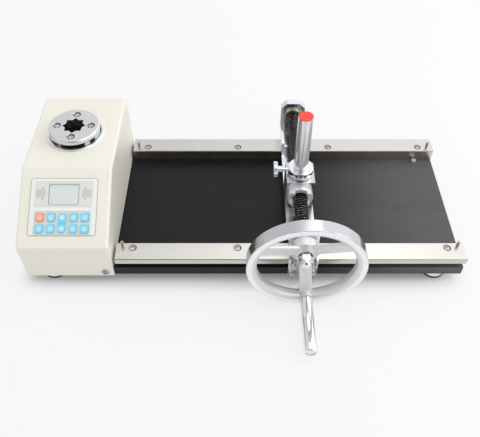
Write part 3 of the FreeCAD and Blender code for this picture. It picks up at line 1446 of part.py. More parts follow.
def make_dome_nut():
    """The dome nut that holds the wheel: a hexagon, a domed end and a blind threaded hole."""
    body = new_body("dome_nut", shifted(SPINDLE, "-y", RECESS_FLOOR), (1, 0, 0), "90")
    corner = "nut_flats / sqrt(3)"
    turns = [60 * count for count in range(6)]
    hexagon = [(f"{corner} * cos({turn})", f"{corner} * sin({turn})") for turn in turns]
    pad(outline(new_sketch(body, "XY"), hexagon), "nut_hex_height")
    dome = new_sketch(body, "XZ")
    middle = FreeCAD.Vector(0, value("nut_hex_height"), 0)
    start = FreeCAD.Vector(value("dome_radius"), value("nut_hex_height"), 0)
    top = FreeCAD.Vector(0, value("nut_hex_height + dome_radius"), 0)
    full_circle = Part.Circle(middle, FreeCAD.Vector(0, 0, 1), value("dome_radius"))
    dome.addGeometry(Part.ArcOfCircle(full_circle, 0, math.pi / 2))
    dome.addGeometry(Part.LineSegment(top, middle))
    dome.addGeometry(Part.LineSegment(middle, start))
    dome.addConstraint(Sketcher.Constraint("Coincident", 0, 3, 1, 2))
    dome.addConstraint(Sketcher.Constraint("Coincident", 0, 2, 1, 1))
    dome.addConstraint(Sketcher.Constraint("Coincident", 1, 2, 2, 1))
    dome.addConstraint(Sketcher.Constraint("Coincident", 2, 2, 0, 1))
    dome.addConstraint(Sketcher.Constraint("Vertical", 1))
    dome.addConstraint(Sketcher.Constraint("Horizontal", 2))
    hold(dome, 1, 2, "0", "nut_hex_height")
    radius = dome.addConstraint(Sketcher.Constraint("Radius", 0, value("dome_radius")))
    dome.setExpression(f"Constraints[{radius}]", cells("dome_radius"))
    revolve(dome)
    hole = circle(new_sketch(body, "XY"), ("0", "0"), "stud_radius + thread_clearance")
    pocket(hole, f"stud_end - {RECESS_FLOOR} + slide_gap", reverse=True)
    node(body)


def make_crank():
    """The crank stud in the rim's boss and the handle that turns freely on it."""
    at = (CRANK_X, "rails_y", CRANK_Z)
    stud = new_body("crank_stud", at, (1, 0, 0), "90")
    head_back = "handle_tip - handle_recess + slide_gap"
    profile = [
        ("0", f"{BOSS_FRONT} - crank_thread_length"),
        ("crank_thread_radius", f"{BOSS_FRONT} - crank_thread_length"),
        ("crank_thread_radius", BOSS_FRONT),
        ("crank_stud_radius", BOSS_FRONT),
        ("crank_stud_radius", head_back),
        ("crank_head_radius", head_back),
        ("crank_head_radius", f"{head_back} + crank_head_thickness"),
        ("0", f"{head_back} + crank_head_thickness"),
    ]
    revolve(outline(new_sketch(stud, "XZ"), profile))
    node(stud)

    handle = new_body("crank_handle", at, (1, 0, 0), "90")
    start = f"{BOSS_FRONT} + handle_gap"
    floor = "handle_tip - handle_recess"
    profile = [
        ("crank_stud_radius + running_gap", start),
        ("handle_radius - handle_edge", start),
        ("handle_radius", f"{start} + handle_edge"),
        ("handle_tip_radius", "handle_tip - handle_edge"),
        ("handle_tip_radius - handle_edge", "handle_tip"),
        ("handle_recess_radius", "handle_tip"),
        ("handle_recess_radius", floor),
        ("crank_stud_radius + running_gap", floor),
    ]
    revolve(outline(new_sketch(handle, "XZ"), profile))
    node(handle)


# Nut slide

def make_nut_block():
    """The chromed cube that carries the post, bored for the flanged nut and keyed to the channel."""
    body = new_body("nut_block", CARRIAGE)
    front = "-nut_block_front"
    section = [
        ("-frame_width / 2", NUT_UNDER),
        ("-slot_width / 2 + slide_gap", NUT_UNDER),
        ("-slot_width / 2 + slide_gap", f"{NUT_UNDER} - tongue_drop"),
        ("slot_width / 2 - slide_gap", f"{NUT_UNDER} - tongue_drop"),
        ("slot_width / 2 - slide_gap", NUT_UNDER),
        ("frame_width / 2", NUT_UNDER),
        ("frame_width / 2", BLOCK_TOP),
        ("-frame_width / 2", BLOCK_TOP),
    ]
    pad(outline(new_sketch(body, "XZ", "nut_block_front"), section), "nut_block_length", reverse=True)
    barrel = new_sketch(body, "XZ", "nut_block_front")
    circle(barrel, ("0", SPINDLE_Z), "nut_barrel_radius + thread_clearance")
    pocket(barrel, "nut_barrel_length + slide_gap")
    through = new_sketch(body, "XZ", "nut_block_front")
    pocket(circle(through, ("0", SPINDLE_Z), "screw_radius + hole_clearance"), "nut_block_length")
    post = new_sketch(body, "XY", BLOCK_TOP)
    circle(post, ("0", NUT_MIDDLE), "post_shank + running_gap")
    pocket(post, f"{BLOCK_TOP} - {POST_BASE} + slide_gap")
    threads = new_sketch(body, "XZ", "nut_block_front")
    for turn in (45, 135, 225, 315):
        spot = (f"nut_screw_circle * cos({turn})", f"{SPINDLE_Z} + nut_screw_circle * sin({turn})")
        circle(threads, spot, "nut_screw_shank + thread_clearance")
    pocket(threads, "nut_screw_depth - nut_flange_thickness + thread_runout")
    half = value("frame_width / 2")
    dress(
        "Chamfer",
        body,
        "rail_edge",
        lambda edge: runs_along(edge, (0, 1, 0)) and abs(abs(edge.CenterOfMass.x) - half) < 0.01,
    )
    node(body)


def make_flanged_nut():
    """The nut: a barrel pressed into the block, a round flange, and four screws through it."""
    at = shifted(SPINDLE, "-y", "nut_block_front")
    body = new_body("flanged_nut", at, (1, 0, 0), "90")
    profile = [
        ("screw_radius + running_gap", "-nut_barrel_length"),
        ("nut_barrel_radius", "-nut_barrel_length"),
        ("nut_barrel_radius", "0"),
        ("nut_flange_radius", "0"),
        ("nut_flange_radius", "nut_flange_thickness - edge_break"),
        ("nut_flange_radius - edge_break", "nut_flange_thickness"),
        ("screw_radius + nut_mouth", "nut_flange_thickness"),
        ("screw_radius + running_gap", "nut_flange_thickness - nut_mouth"),
    ]
    revolve(outline(new_sketch(body, "XZ"), profile))
    spot = ("nut_screw_circle * cos(45)", "nut_screw_circle * sin(45)")
    hole = circle(new_sketch(body, "XY"), spot, "nut_screw_shank + hole_clearance")
    drilled = pocket(hole, "nut_flange_thickness", reverse=True)
    polar(body, [drilled], "Z", 4)
    node(body)
    head = ("nut_screw_shank", "nut_screw_head", "nut_screw_head_height")
    screws = []
    y = "rails_y - nut_block_front - nut_flange_thickness"
    for count, turn in enumerate((45, 135, 225, 315), 1):
        x = f"carriage_x + nut_screw_circle * cos({turn})"
        seat = (x, y, f"{SPINDLE_Z} + nut_screw_circle * sin({turn})")
        screws.append(cap_screw(f"nut_screw_{count}", seat, "+y", *head, "nut_screw_depth"))
    group("nut_screws", screws)


def make_post():
    """The clamp collar, the reaction post with its end cap and the thumb screw that locks it."""
    collar = new_body("post_collar", ("carriage_x", POST_Y, BLOCK_TOP))
    profile = [
        ("post_shank + running_gap", "0"),
        ("collar_radius - collar_groove", "0"),
        ("collar_radius - collar_groove", "collar_groove"),
        ("collar_radius", "collar_groove"),
        ("collar_radius", "collar_height - collar_edge"),
        ("collar_radius - collar_edge", "collar_height"),
        ("post_shank + running_gap", "collar_height"),
    ]
    revolve(outline(new_sketch(collar, "XZ"), profile))
    cross = circle(new_sketch(collar, "YZ"), ("0", "thumb_height"), "thumb_shaft + thread_clearance")
    pocket(cross, "collar_radius + 1")
    node(collar)

    at = ("carriage_x", POST_Y, POST_BASE)
    shank = cylinder("post_shank_blank", at, "+z", "post_shank", f"{POST_TOP} - {POST_BASE}")
    seat = ("carriage_x", POST_Y, POST_SHOULDER)
    upper = cylinder("post_upper", seat, "+z", "post_radius", f"{POST_TOP} - {POST_SHOULDER}")
    top = ("carriage_x", POST_Y, POST_TOP)
    well = cylinder("post_well", top, "-z", "cap_stem_radius + thread_clearance", "cap_stem + slide_gap")
    node(cut("reaction_post", fuse("post_blank", [shank, upper]), [well]))
    disc = cylinder("cap_disc", top, "+z", "post_radius - cap_inset", "cap_thickness")
    stem = cylinder("cap_stem", top, "-z", "cap_stem_radius", "cap_stem")
    node(fuse("post_cap", [disc, stem]))

    centre = ("carriage_x", POST_Y, THUMB_Z)
    start = shifted(centre, "-x", "post_shank + slide_gap")
    shaft = cylinder("thumb_shaft", start, "-x", "thumb_shaft", "thumb_neck_start - post_shank - slide_gap")
    start = shifted(centre, "-x", "thumb_neck_start")
    neck = cylinder("thumb_neck", start, "-x", "thumb_neck", "thumb_head_start - thumb_neck_start")
    start = shifted(centre, "-x", "thumb_head_start")
    head = cylinder("thumb_head", start, "-x", "thumb_head", "thumb_end - thumb_head_start")
    node(fuse("thumb_screw", [shaft, neck, head]))


def check_and_write():
    """Stop on a failed object, a pocket that cuts nothing or a bad solid, then write each sub-part."""
    doc.recompute()
    for item in doc.Objects:
        if "Invalid" in item.State or "Error" in item.State:
            raise RuntimeError(f"{item.Label} failed: {item.State} {item.getStatusString()}")
        if item.TypeId == "PartDesign::Pocket" and item.BaseFeature is not None:
            if item.BaseFeature.Shape.Volume - item.Shape.Volume < 0.01:
                raise RuntimeError(f"{item.Label} cuts nothing")
    for item in nodes:
        if item.Shape.isNull() or not item.Shape.isValid():
            raise RuntimeError(f"{item.Label} has no valid shape")
        item.Shape.exportStep(f"parts/{item.Label}.step")


fill_sheet()
make_base_plate()
make_rail("front_rail", -1)
make_rail("rear_rail", 1)
make_base_fasteners()
make_feet()
make_housing_cover()
make_cover_screws()
make_drive()
make_overlay()
for key in key_layout():
    make_key(*key)
make_electronics()
make_battery()
make_rear_sockets()
make_carriage_frame()
make_keeper("front_keeper", -1, "keeper_bottom", "keeper_screw_spacing", "groove_inset")
make_keeper("rear_keeper", 1, KEEPER_LIP_UNDER, "rear_keeper_spacing", "apron_thickness / 2")
make_carriage_screws()
make_bearing_blocks()
make_lead_screw()
make_handwheel()
make_dome_nut()
make_crank()
make_nut_block()
make_flanged_nut()
make_post()
check_and_write()
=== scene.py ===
"""Looks of a bench torque wrench calibrator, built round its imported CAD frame.

Lengths are in metres and colours are linear. Every piece stays in the row frame: +X runs along
the rails away from the housing, -Y faces the person at the handwheel, and the bench is at z = 0.
"""

from __future__ import annotations

import json
import logging
import math
from dataclasses import dataclass, field
from enum import Enum
from typing import Any, Iterable, Sequence, Union

import bmesh
import bpy
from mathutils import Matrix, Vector


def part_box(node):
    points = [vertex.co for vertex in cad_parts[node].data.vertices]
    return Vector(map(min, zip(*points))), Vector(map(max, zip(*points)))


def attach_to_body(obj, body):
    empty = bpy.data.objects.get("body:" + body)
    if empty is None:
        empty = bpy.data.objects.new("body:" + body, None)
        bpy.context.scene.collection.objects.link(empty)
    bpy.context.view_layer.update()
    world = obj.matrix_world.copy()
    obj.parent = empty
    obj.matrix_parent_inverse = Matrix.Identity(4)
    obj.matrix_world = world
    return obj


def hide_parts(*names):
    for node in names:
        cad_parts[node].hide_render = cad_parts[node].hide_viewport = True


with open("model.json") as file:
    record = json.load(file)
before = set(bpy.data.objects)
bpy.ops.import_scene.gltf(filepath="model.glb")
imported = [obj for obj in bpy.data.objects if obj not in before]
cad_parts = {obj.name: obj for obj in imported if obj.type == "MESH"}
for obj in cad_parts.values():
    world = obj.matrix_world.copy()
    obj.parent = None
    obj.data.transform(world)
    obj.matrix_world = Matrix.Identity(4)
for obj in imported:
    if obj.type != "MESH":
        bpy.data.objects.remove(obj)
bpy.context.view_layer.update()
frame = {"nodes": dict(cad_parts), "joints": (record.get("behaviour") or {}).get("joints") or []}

LOG = logging.getLogger("calibrator")

Point = tuple[float, float, float]
Colour = tuple[float, float, float]
Profile = Sequence[tuple[float, float]]

# The display's window on the slope: half its width and height, and how far up its middle is
DISPLAY_HALF = (0.0230, 0.0164)
DISPLAY_UP = 0.0656


class Axis(Enum):
    """A direction of the row frame."""

    X = (1.0, 0.0, 0.0)
    Y = (0.0, 1.0, 0.0)
    Z = (0.0, 0.0, 1.0)

    @property
    def vector(self) -> Vector:
        """The direction as a vector."""
        return Vector(self.value)


# Shader graph


class Value:
    """A number that varies over a surface: a socket whose arithmetic adds Math nodes."""

    def __init__(self, graph: "Graph", socket: bpy.types.NodeSocket) -> None:
        """Wrap a socket of a graph."""
        self.graph = graph
        self.socket = socket

    def _math(self, operation: str, *terms: "Number") -> "Value":
        """Add one Math node.

        Args:
            operation: The node's operation.
            terms: Its inputs, in order.

        Returns:
            The node's result.
        """
        node = self.graph.add("ShaderNodeMath", {"operation": operation}, dict(enumerate(terms)))
        return Value(self.graph, node.outputs[0])

    def __add__(self, other: "Number") -> "Value":
        """The sum."""
        return self._math("ADD", self, other)

    __radd__ = __add__

    def __sub__(self, other: "Number") -> "Value":
        """The difference."""
        return self._math("SUBTRACT", self, other)

    def __rsub__(self, other: "Number") -> "Value":
        """The difference, taken from a plain number."""
        return self._math("SUBTRACT", other, self)

    def __mul__(self, other: "Number") -> "Value":
        """The product."""
        return self._math("MULTIPLY", self, other)

    __rmul__ = __mul__

    def __abs__(self) -> "Value":
        """The size without its sign."""
        return self._math("ABSOLUTE", self)

    def __pow__(self, other: "Number") -> "Value":
        """A power."""
        return self._math("POWER", self, other)

    def at_least(self, limit: "Number") -> "Value":
        """The larger of the value and a limit."""
        return self._math("MAXIMUM", self, limit)

    def at_most(self, limit: "Number") -> "Value":
        """The smaller of the value and a limit."""
        return self._math("MINIMUM", self, limit)

    def ripple(self, pitch: float) -> "Value":
        """A sine that repeats each time the value grows by a pitch."""
        return self._math("SINE", self * (2.0 * math.pi / pitch))

    def rise(self, start: float, end: float) -> "Value":
        """A smooth step.

        Args:
            start: Where the step is still 0.
            end: Where the step has become 1. It may be the smaller one, for a falling step.

        Returns:
            A mask from 0 to 1.
        """
        low, high, first, last = (start, end, 0.0, 1.0) if start < end else (end, start, 1.0, 0.0)
        node = self.graph.add(
            "ShaderNodeMapRange",
            {"interpolation_type": "SMOOTHSTEP"},
            {"Value": self, "From Min": low, "From Max": high, "To Min": first, "To Max": last},
        )
        return Value(self.graph, node.outputs["Result"])


Number = Union[Value, float, int]


class Graph:
    """The node tree of one material or world."""

    def __init__(self, owner: bpy.types.ID) -> None:
        """Start an empty tree on a material or a world."""
        owner.use_nodes = True
        self.tree = owner.node_tree
        self.tree.nodes.clear()

    def add(
        self, kind: str, settings: dict[str, Any] | None = None, inputs: dict[Any, Any] | None = None
    ) -> bpy.types.Node:
        """Add a node.

        Args:
            kind: The node's type.
            settings: Its properties, set first.
            inputs: Its sockets by name or number, with the value or the link of each.

        Returns:
            The node.
        """
        node = self.tree.nodes.new(kind)
        for name, setting in (settings or {}).items():
            setattr(node, name, setting)
        for name, given in (inputs or {}).items():
            socket = given.socket if isinstance(given, Value) else given
            if isinstance(socket, bpy.types.NodeSocket):
                self.tree.links.new(socket, node.inputs[name])
            elif isinstance(socket, tuple) and node.inputs[name].type == "RGBA":
                node.inputs[name].default_value = (*socket, 1.0)
            else:
                node.inputs[name].default_value = socket
        return node

    def split(self, vector: bpy.types.NodeSocket) -> tuple[Value, Value, Value]:
        """The three parts of a vector."""
        parts = self.add("ShaderNodeSeparateXYZ", None, {0: vector})
        return tuple(Value(self, output) for output in parts.outputs)

    def place(self) -> tuple[Value, Value, Value]:
        """The point on the surface in the row frame at rest, as three values."""
        return self.split(self.add("ShaderNodeTexCoord").outputs["Object"])

    def reach(self, centre: Sequence[float], axes: str) -> Value:
        """The distance from a centre, measured along some of the axes alone.

        Args:
            centre: The centre, in the row frame.
            axes: The axes that count, such as "xz" for the distance from a line along Y.

        Returns:
            Metres from the centre.
        """
        places = dict(zip("xyz", zip(self.place(), centre)))
        offsets = [place - middle for place, middle in (places[axis] for axis in axes)]
        squares = [offset * offset for offset in offsets]
        return sum(squares[1:], squares[0]) ** 0.5

    def noise(
        self, size: float, detail: float = 2.0, stretch: Point = (1.0, 1.0, 1.0), rough: float = 0.5
    ) -> Value:
        """Noise in the row frame.

        Args:
            size: How large its features are, in metres.
            detail: How many finer octaves it has.
            stretch: How many times finer it is along each axis.
            rough: How strong the finer octaves are.

        Returns:
            A value round 0.5.
        """
        coordinates = self.add("ShaderNodeTexCoord").outputs["Object"]
        scaled = self.add("ShaderNodeVectorMath", {"operation": "MULTIPLY"}, {0: coordinates, 1: stretch})
        inputs = {"Vector": scaled.outputs[0], "Scale": 1.0 / size, "Detail": detail, "Roughness": rough}
        return Value(self, self.add("ShaderNodeTexNoise", None, inputs).outputs[0])

    def cells(self, size: float) -> Value:
        """The distance to the nearest of many scattered points, a cell being of a size in metres."""
        coordinates = self.add("ShaderNodeTexCoord").outputs["Object"]
        node = self.add("ShaderNodeTexVoronoi", None, {"Vector": coordinates, "Scale": 1.0 / size})
        return Value(self, node.outputs["Distance"])

    def mix(self, mask: Number, first: Any, second: Any) -> bpy.types.NodeSocket:
        """A colour between two: the first where a mask is 0, the second where it is 1."""
        inputs = {0: mask, 6: first, 7: second}
        return self.add("ShaderNodeMix", {"data_type": "RGBA"}, inputs).outputs[2]

    def bump(self, height: Value, depth: float) -> bpy.types.NodeSocket:
        """A normal that follows a height, whose full range is a depth in metres."""
        return self.add("ShaderNodeBump", None, {"Height": height, "Distance": depth}).outputs[0]

    def rays(self, *kinds: str) -> Value:
        """Whether a ray is of any of some kinds."""
        path = self.add("ShaderNodeLightPath").outputs
        masks = [Value(self, path[f"Is {kind} Ray"]) for kind in kinds]
        result = masks[0]
        for mask in masks[1:]:
            result = result.at_least(mask)
        return result

    def finish(self, **inputs: Any) -> None:
        """End the tree in one Principled shader with inputs by name, spaces written as underscores."""
        named = {name.replace("_", " "): given for name, given in inputs.items()}
        shader = self.add("ShaderNodeBsdfPrincipled", None, named)
        self.add("ShaderNodeOutputMaterial", None, {"Surface": shader.outputs[0]})


def shade(colour: Colour, factor: float) -> Colour:
    """A colour made lighter or darker by a factor."""
    return tuple(min(1.0, part * factor) for part in colour)


def rounded(across: Value, up: Value, half: tuple[float, float], corner: float) -> Value:
    """The distance outside a rounded rectangle about the origin.

    Args:
        across: The place across the rectangle.
        up: The place up the rectangle.
        half: Half its width and half its height.
        corner: The radius of its corners.

    Returns:
        Metres outside its edge, less than 0 inside.
    """
    beyond = [(abs(value) - (size - corner)).at_least(0.0) for value, size in zip((across, up), half)]
    return (beyond[0] * beyond[0] + beyond[1] * beyond[1]) ** 0.5 - corner


# Finishes


@dataclass(frozen=True)
class Finish:
    """A surface finish, made into one material."""

    name: str
    colour: Colour

    def make(self) -> bpy.types.Material:
        """The finished material."""
        material = bpy.data.materials.new(self.name)
        self.shade_in(Graph(material))
        return material

    def shade_in(self, graph: Graph) -> None:
        """Build the finish in an empty graph."""
        raise NotImplementedError


@dataclass(frozen=True)
class PowderCoat(Finish):
    """Smooth powder coat with a faint orange peel."""

    roughness: float = 0.42
    peel: float = 0.0016

    def shade_in(self, graph: Graph) -> None:
        """Build the finish in an empty graph."""
        drift = graph.noise(0.12, 3.0)
        peel = graph.noise(self.peel, 1.0)
        speckle = graph.noise(0.0004, 0.0)
        colour = graph.mix(drift.rise(0.35, 0.65), shade(self.colour, 0.975), self.colour)
        graph.finish(
            Base_Color=graph.mix(speckle.rise(0.68, 0.76) * 0.25, colour, shade(self.colour, 0.80)),
            Roughness=self.roughness + (drift - 0.5) * 0.10,
            Normal=graph.bump(peel, 0.00004),
            Coat_Weight=0.15,
            Coat_Roughness=0.25,
        )


@dataclass(frozen=True)
class BlackCoat(Finish):
    """Satin black coat with fine grain, wipe marks, a few specks and a painted reflection that grows paler
    towards +X.
    """

    roughness: float = 0.36
    # The colour of the painted reflection where it is strongest
    dusty: Colour = (0.096, 0.096, 0.100)
    speck: Colour = (0.16, 0.16, 0.16)
    # Where along X the painted reflection starts, and where it is full
    clean_x: float = 0.05
    dusty_x: float = 0.34

    def shade_in(self, graph: Graph) -> None:
        """Build the finish in an empty graph."""
        grain = graph.noise(0.0005, 1.0)
        wiped = graph.noise(0.07, 4.0, (1.0, 2.2, 1.0), 0.6)
        specks = graph.cells(0.012).rise(0.055, 0.03) * graph.noise(0.03, 0.0).rise(0.56, 0.62)
        # Painted reflection: the coat turns paler towards +X, broken up by the wipe marks
        painted_reflection = graph.place()[0].rise(self.clean_x, self.dusty_x) * (0.75 + wiped * 0.5)
        colour = graph.mix(wiped.rise(0.3, 0.7), self.colour, shade(self.colour, 1.35))
        colour = graph.mix(painted_reflection.at_most(1.0), colour, self.dusty)
        graph.finish(
            Base_Color=graph.mix(specks, colour, self.speck),
            Roughness=self.roughness + (wiped - 0.5) * 0.16 + specks * 0.3,
            Normal=graph.bump(grain, 0.000025),
            Specular_IOR_Level=0.21,
        )


@dataclass(frozen=True)
class BrushedSteel(Finish):
    """Bare steel, ground so that its fine lines run along one axis."""

    along: Axis = Axis.X
    roughness: float = 0.30
    line: float = 0.00035

    def shade_in(self, graph: Graph) -> None:
        """Build the finish in an empty graph."""
        stretch = tuple(0.012 if part else 1.0 for part in self.along.value)
        lines = graph.noise(self.line, 3.0, stretch, 0.65)
        bands = graph.noise(0.004, 1.0, stretch)
        stain = graph.noise(0.05, 3.0)
        rough = (lines - 0.5) * 0.14 + (bands - 0.5) * 0.10 + (stain - 0.5) * 0.08
        colour = graph.mix(lines.rise(0.3, 0.7), shade(self.colour, 0.90), self.colour)
        graph.finish(
            Base_Color=graph.mix(stain.rise(0.5, 0.8) * 0.5, colour, shade(self.colour, 0.93)),
            Metallic=1.0,
            Roughness=self.roughness + rough,
            Normal=graph.bump(lines, 0.000010),
        )


@dataclass(frozen=True)
class Plated(Finish):
    """Plated or polished metal with faint waves, wipe marks and hairline scratches."""

    roughness: float = 0.10
    wave: float = 0.00004
    marks: float = 0.06
    metallic: float = 1.0

    def shade_in(self, graph: Graph) -> None:
        """Build the finish in an empty graph."""
        wave = graph.noise(0.014, 1.0)
        smear = graph.noise(0.02, 4.0, rough=0.62)
        scratch = graph.noise(0.0005, 2.0, (0.05, 1.0, 0.35), 0.6)
        worn = (smear - 0.5).at_least(0.0) * (self.marks * 3.0) + scratch.rise(0.62, 0.72) * 0.10
        graph.finish(
            Base_Color=graph.mix(smear.rise(0.45, 0.75), self.colour, shade(self.colour, 0.94)),
            Metallic=self.metallic,
            Roughness=self.roughness + worn,
            Normal=graph.bump(wave + scratch * 0.02, self.wave),
        )


@dataclass(frozen=True)
class OiledOxide(Finish):
    """Blackened steel under a film of oil, with worn patches, and with wear and a painted highlight along the
    crests of a thread.
    """

    centre: Point = (0.0, 0.0, 0.0)
    crest: float = 0.011
    roughness: float = 0.34
    # The colour of the worn patches, and of the wear and painted highlight on the crests
    worn: Colour = (0.42, 0.38, 0.34)

    def shade_in(self, graph: Graph) -> None:
        """Build the finish in an empty graph."""
        # The crests get wear and a painted highlight, broken into patches; the patches elsewhere are wear
        # alone
        crest = graph.reach(self.centre, "xz").rise(self.crest - 0.00025, self.crest - 0.00005)
        crest_wear_and_highlight = crest * graph.noise(0.0025, 2.0).rise(0.45, 0.62)
        grain = graph.noise(0.0006, 2.0)
        worn = (graph.noise(0.006, 3.0).rise(0.58, 0.80) * 0.20).at_least(crest_wear_and_highlight * 0.60)
        graph.finish(
            Base_Color=graph.mix(worn, self.colour, self.worn),
            Metallic=0.75,
            Roughness=self.roughness + (grain - 0.5) * 0.2,
            Coat_Weight=0.35 + worn * 0.2,
            Coat_Roughness=0.2,
            Normal=graph.bump(grain, 0.00002),
        )


@dataclass(frozen=True)
class DriveDisc(Finish):
    """A disc with fine lathe rings, whose side below a bright band has a painted dark reflection with painted
    glints.
    """

    centre: Point = (0.0, 0.0, 0.0)
    side: float = 0.03
    band: float = 0.14
    roughness: float = 0.24
    ring: float = 0.0005
    # Colours of the painted dark reflection below the band and of its painted glints
    dark: Colour = (0.012, 0.013, 0.015)
    glint: Colour = (0.46, 0.54, 0.60)

    def shade_in(self, graph: Graph) -> None:
        """Build the finish in an empty graph."""
        radius = graph.reach(self.centre, "xy")
        height = graph.place()[2]
        rings = radius.ripple(self.ring)
        blur = graph.noise(0.003, 3.0)
        # Painted reflection: below the band the side is coloured near black, with pale glints
        below = height.rise(self.band + 0.0003, self.band - 0.0003)
        black = radius.rise(self.side - 0.0008, self.side - 0.0003) * below
        glints = graph.noise(0.012, 0.0, (1.0, 1.0, 0.1)).rise(0.54, 0.64)
        drift = graph.noise(0.02, 1.0).rise(0.35, 0.7)
        bright = graph.mix(drift, self.colour, shade(self.colour, 0.95))
        graph.finish(
            Base_Color=graph.mix(black, bright, graph.mix(glints, self.dark, self.glint)),
            Metallic=1.0,
            Roughness=self.roughness + rings * 0.03 + (blur - 0.5) * 0.05,
            Normal=graph.bump(rings * 0.5 + blur * 0.3, 0.000004),
        )


@dataclass(frozen=True)
class CastWheel(Finish):
    """A cast wheel: satin castings between a polished rim and its turned front face."""

    centre: Point = (0.0, 0.0, 0.0)
    front: float = 0.0
    rim_radius: float = 0.0900
    rim_inner: float = 0.0818
    ring: float = 0.0007
    cast: Colour = (0.80, 0.80, 0.815)
    turned: Colour = (0.94, 0.945, 0.96)

    def shade_in(self, graph: Graph) -> None:
        """Build the finish in an empty graph."""
        radius = graph.reach(self.centre, "xz")
        along = graph.place()[1]
        polished = radius.rise(self.rim_radius - 0.0012, self.rim_radius - 0.0008)
        face = along.rise(self.front + 0.0006, self.front + 0.0002)
        face = face * radius.rise(self.rim_inner - 0.001, self.rim_inner) * (1 - polished)
        as_cast = 1 - (polished + face)
        grain = graph.noise(0.0011, 3.0, rough=0.6)
        rings = radius.ripple(self.ring)
        smear = graph.noise(0.02, 3.0)
        roughness = (0.40 + (grain - 0.5) * 0.20) * as_cast
        roughness = roughness + (0.26 + rings * 0.03 + (smear - 0.5) * 0.08) * face
        roughness = roughness + (0.16 + (smear - 0.5).at_least(0.0) * 0.2) * polished
        cast = graph.mix(grain.rise(0.35, 0.65), shade(self.cast, 0.88), self.cast)
        height = (grain + graph.cells(0.0016) * 0.5) * as_cast + rings * 0.02 * face
        graph.finish(
            Base_Color=graph.mix(face, graph.mix(polished, cast, self.colour), self.turned),
            Metallic=0.50 + polished * 0.45,
            Roughness=roughness,
            Normal=graph.bump(height, 0.00010),
        )


@dataclass(frozen=True)
class Moulded(Finish):
    """Moulded plastic or rubber with a fine texture."""

    roughness: float = 0.4
    grain: float = 0.0005
    depth: float = 0.00001
    coat: float = 0.0

    def shade_in(self, graph: Graph) -> None:
        """Build the finish in an empty graph."""
        texture = graph.noise(self.grain, 1.0)
        drift = graph.noise(0.01, 2.0)
        graph.finish(
            Base_Color=graph.mix(drift.rise(0.3, 0.7), shade(self.colour, 0.95), self.colour),
            Roughness=self.roughness + (texture - 0.5) * 0.1,
            Coat_Weight=self.coat,
            Coat_Roughness=0.12,
            Normal=graph.bump(texture, self.depth),
        )


@dataclass(frozen=True)
class KeyPlastic(Finish):
    """A soft-gloss key with a painted highlight in the middle of its domed top."""

    centre: Point = (0.0, 0.0, 0.0)
    half: float = 0.0064
    pale: float = 0.75

    def shade_in(self, graph: Graph) -> None:
        """Build the finish in an empty graph."""
        # Painted highlight: the middle of the dome is made paler
        middle = graph.reach(self.centre, "xyz").rise(self.half * 0.95, self.half * 0.35) * self.pale
        texture = graph.noise(0.0006, 1.0)
        bright = tuple(part + (1.0 - part) * 0.55 for part in self.colour)
        graph.finish(
            Base_Color=graph.mix(middle, self.colour, bright),
            Roughness=0.34 + (texture - 0.5) * 0.1,
            Coat_Weight=0.3,
            Coat_Roughness=0.15,
            Normal=graph.bump(texture, 0.000008),
        )


@dataclass(frozen=True)
class Board(Finish):
    """A circuit board: solder mask over a grid of tracks and pads."""

    pitch: float = 0.0025

    def shade_in(self, graph: Graph) -> None:
        """Build the finish in an empty graph."""
        x, y, z = graph.place()
        rows = x.ripple(self.pitch).rise(0.75, 0.9)
        columns = (y + z * 0.5).ripple(self.pitch).rise(0.75, 0.9)
        broken = graph.noise(0.012, 0.0).rise(0.45, 0.55)
        tracks = rows * broken + columns * (1 - broken)
        graph.finish(
            Base_Color=graph.mix(tracks, self.colour, shade(self.colour, 2.1)),
            Roughness=0.35 + tracks * 0.1,
            Normal=graph.bump(tracks, 0.00003),
        )


@dataclass(frozen=True)
class ClearPane(Finish):
    """A clear window."""

    def shade_in(self, graph: Graph) -> None:
        """Build the finish in an empty graph."""
        smear = graph.noise(0.008, 3.0)
        graph.finish(
            Base_Color=graph.mix(smear, self.colour, shade(self.colour, 0.98)),
            Roughness=0.03 + smear * 0.03,
            Alpha=0.10 + smear * 0.04,
        )


@dataclass(frozen=True)
class Slope:
    """The housing's sloped panel: places across it and up it, from its lower edge."""

    origin: Vector
    angle: float

    @property
    def up(self) -> Vector:
        """The direction up the slope."""
        return Vector((0.0, math.cos(self.angle), math.sin(self.angle)))

    @property
    def out(self) -> Vector:
        """The direction straight out of the slope."""
        return Vector((0.0, -math.sin(self.angle), math.cos(self.angle)))

    def at(self, across: float, up: float, out: float = 0.0) -> Vector:
        """A place in the row frame from places across, up and out of the slope."""
        return self.origin + Vector((across, 0.0, 0.0)) + self.up * up + self.out * out

    def values(self, graph: Graph) -> tuple[Value, Value]:
        """The surface's places across and up the slope, as values of a graph."""
        x, y, z = graph.place()
        along = (y - self.origin.y) * self.up.y + (z - self.origin.z) * self.up.z
        return x - self.origin.x, along


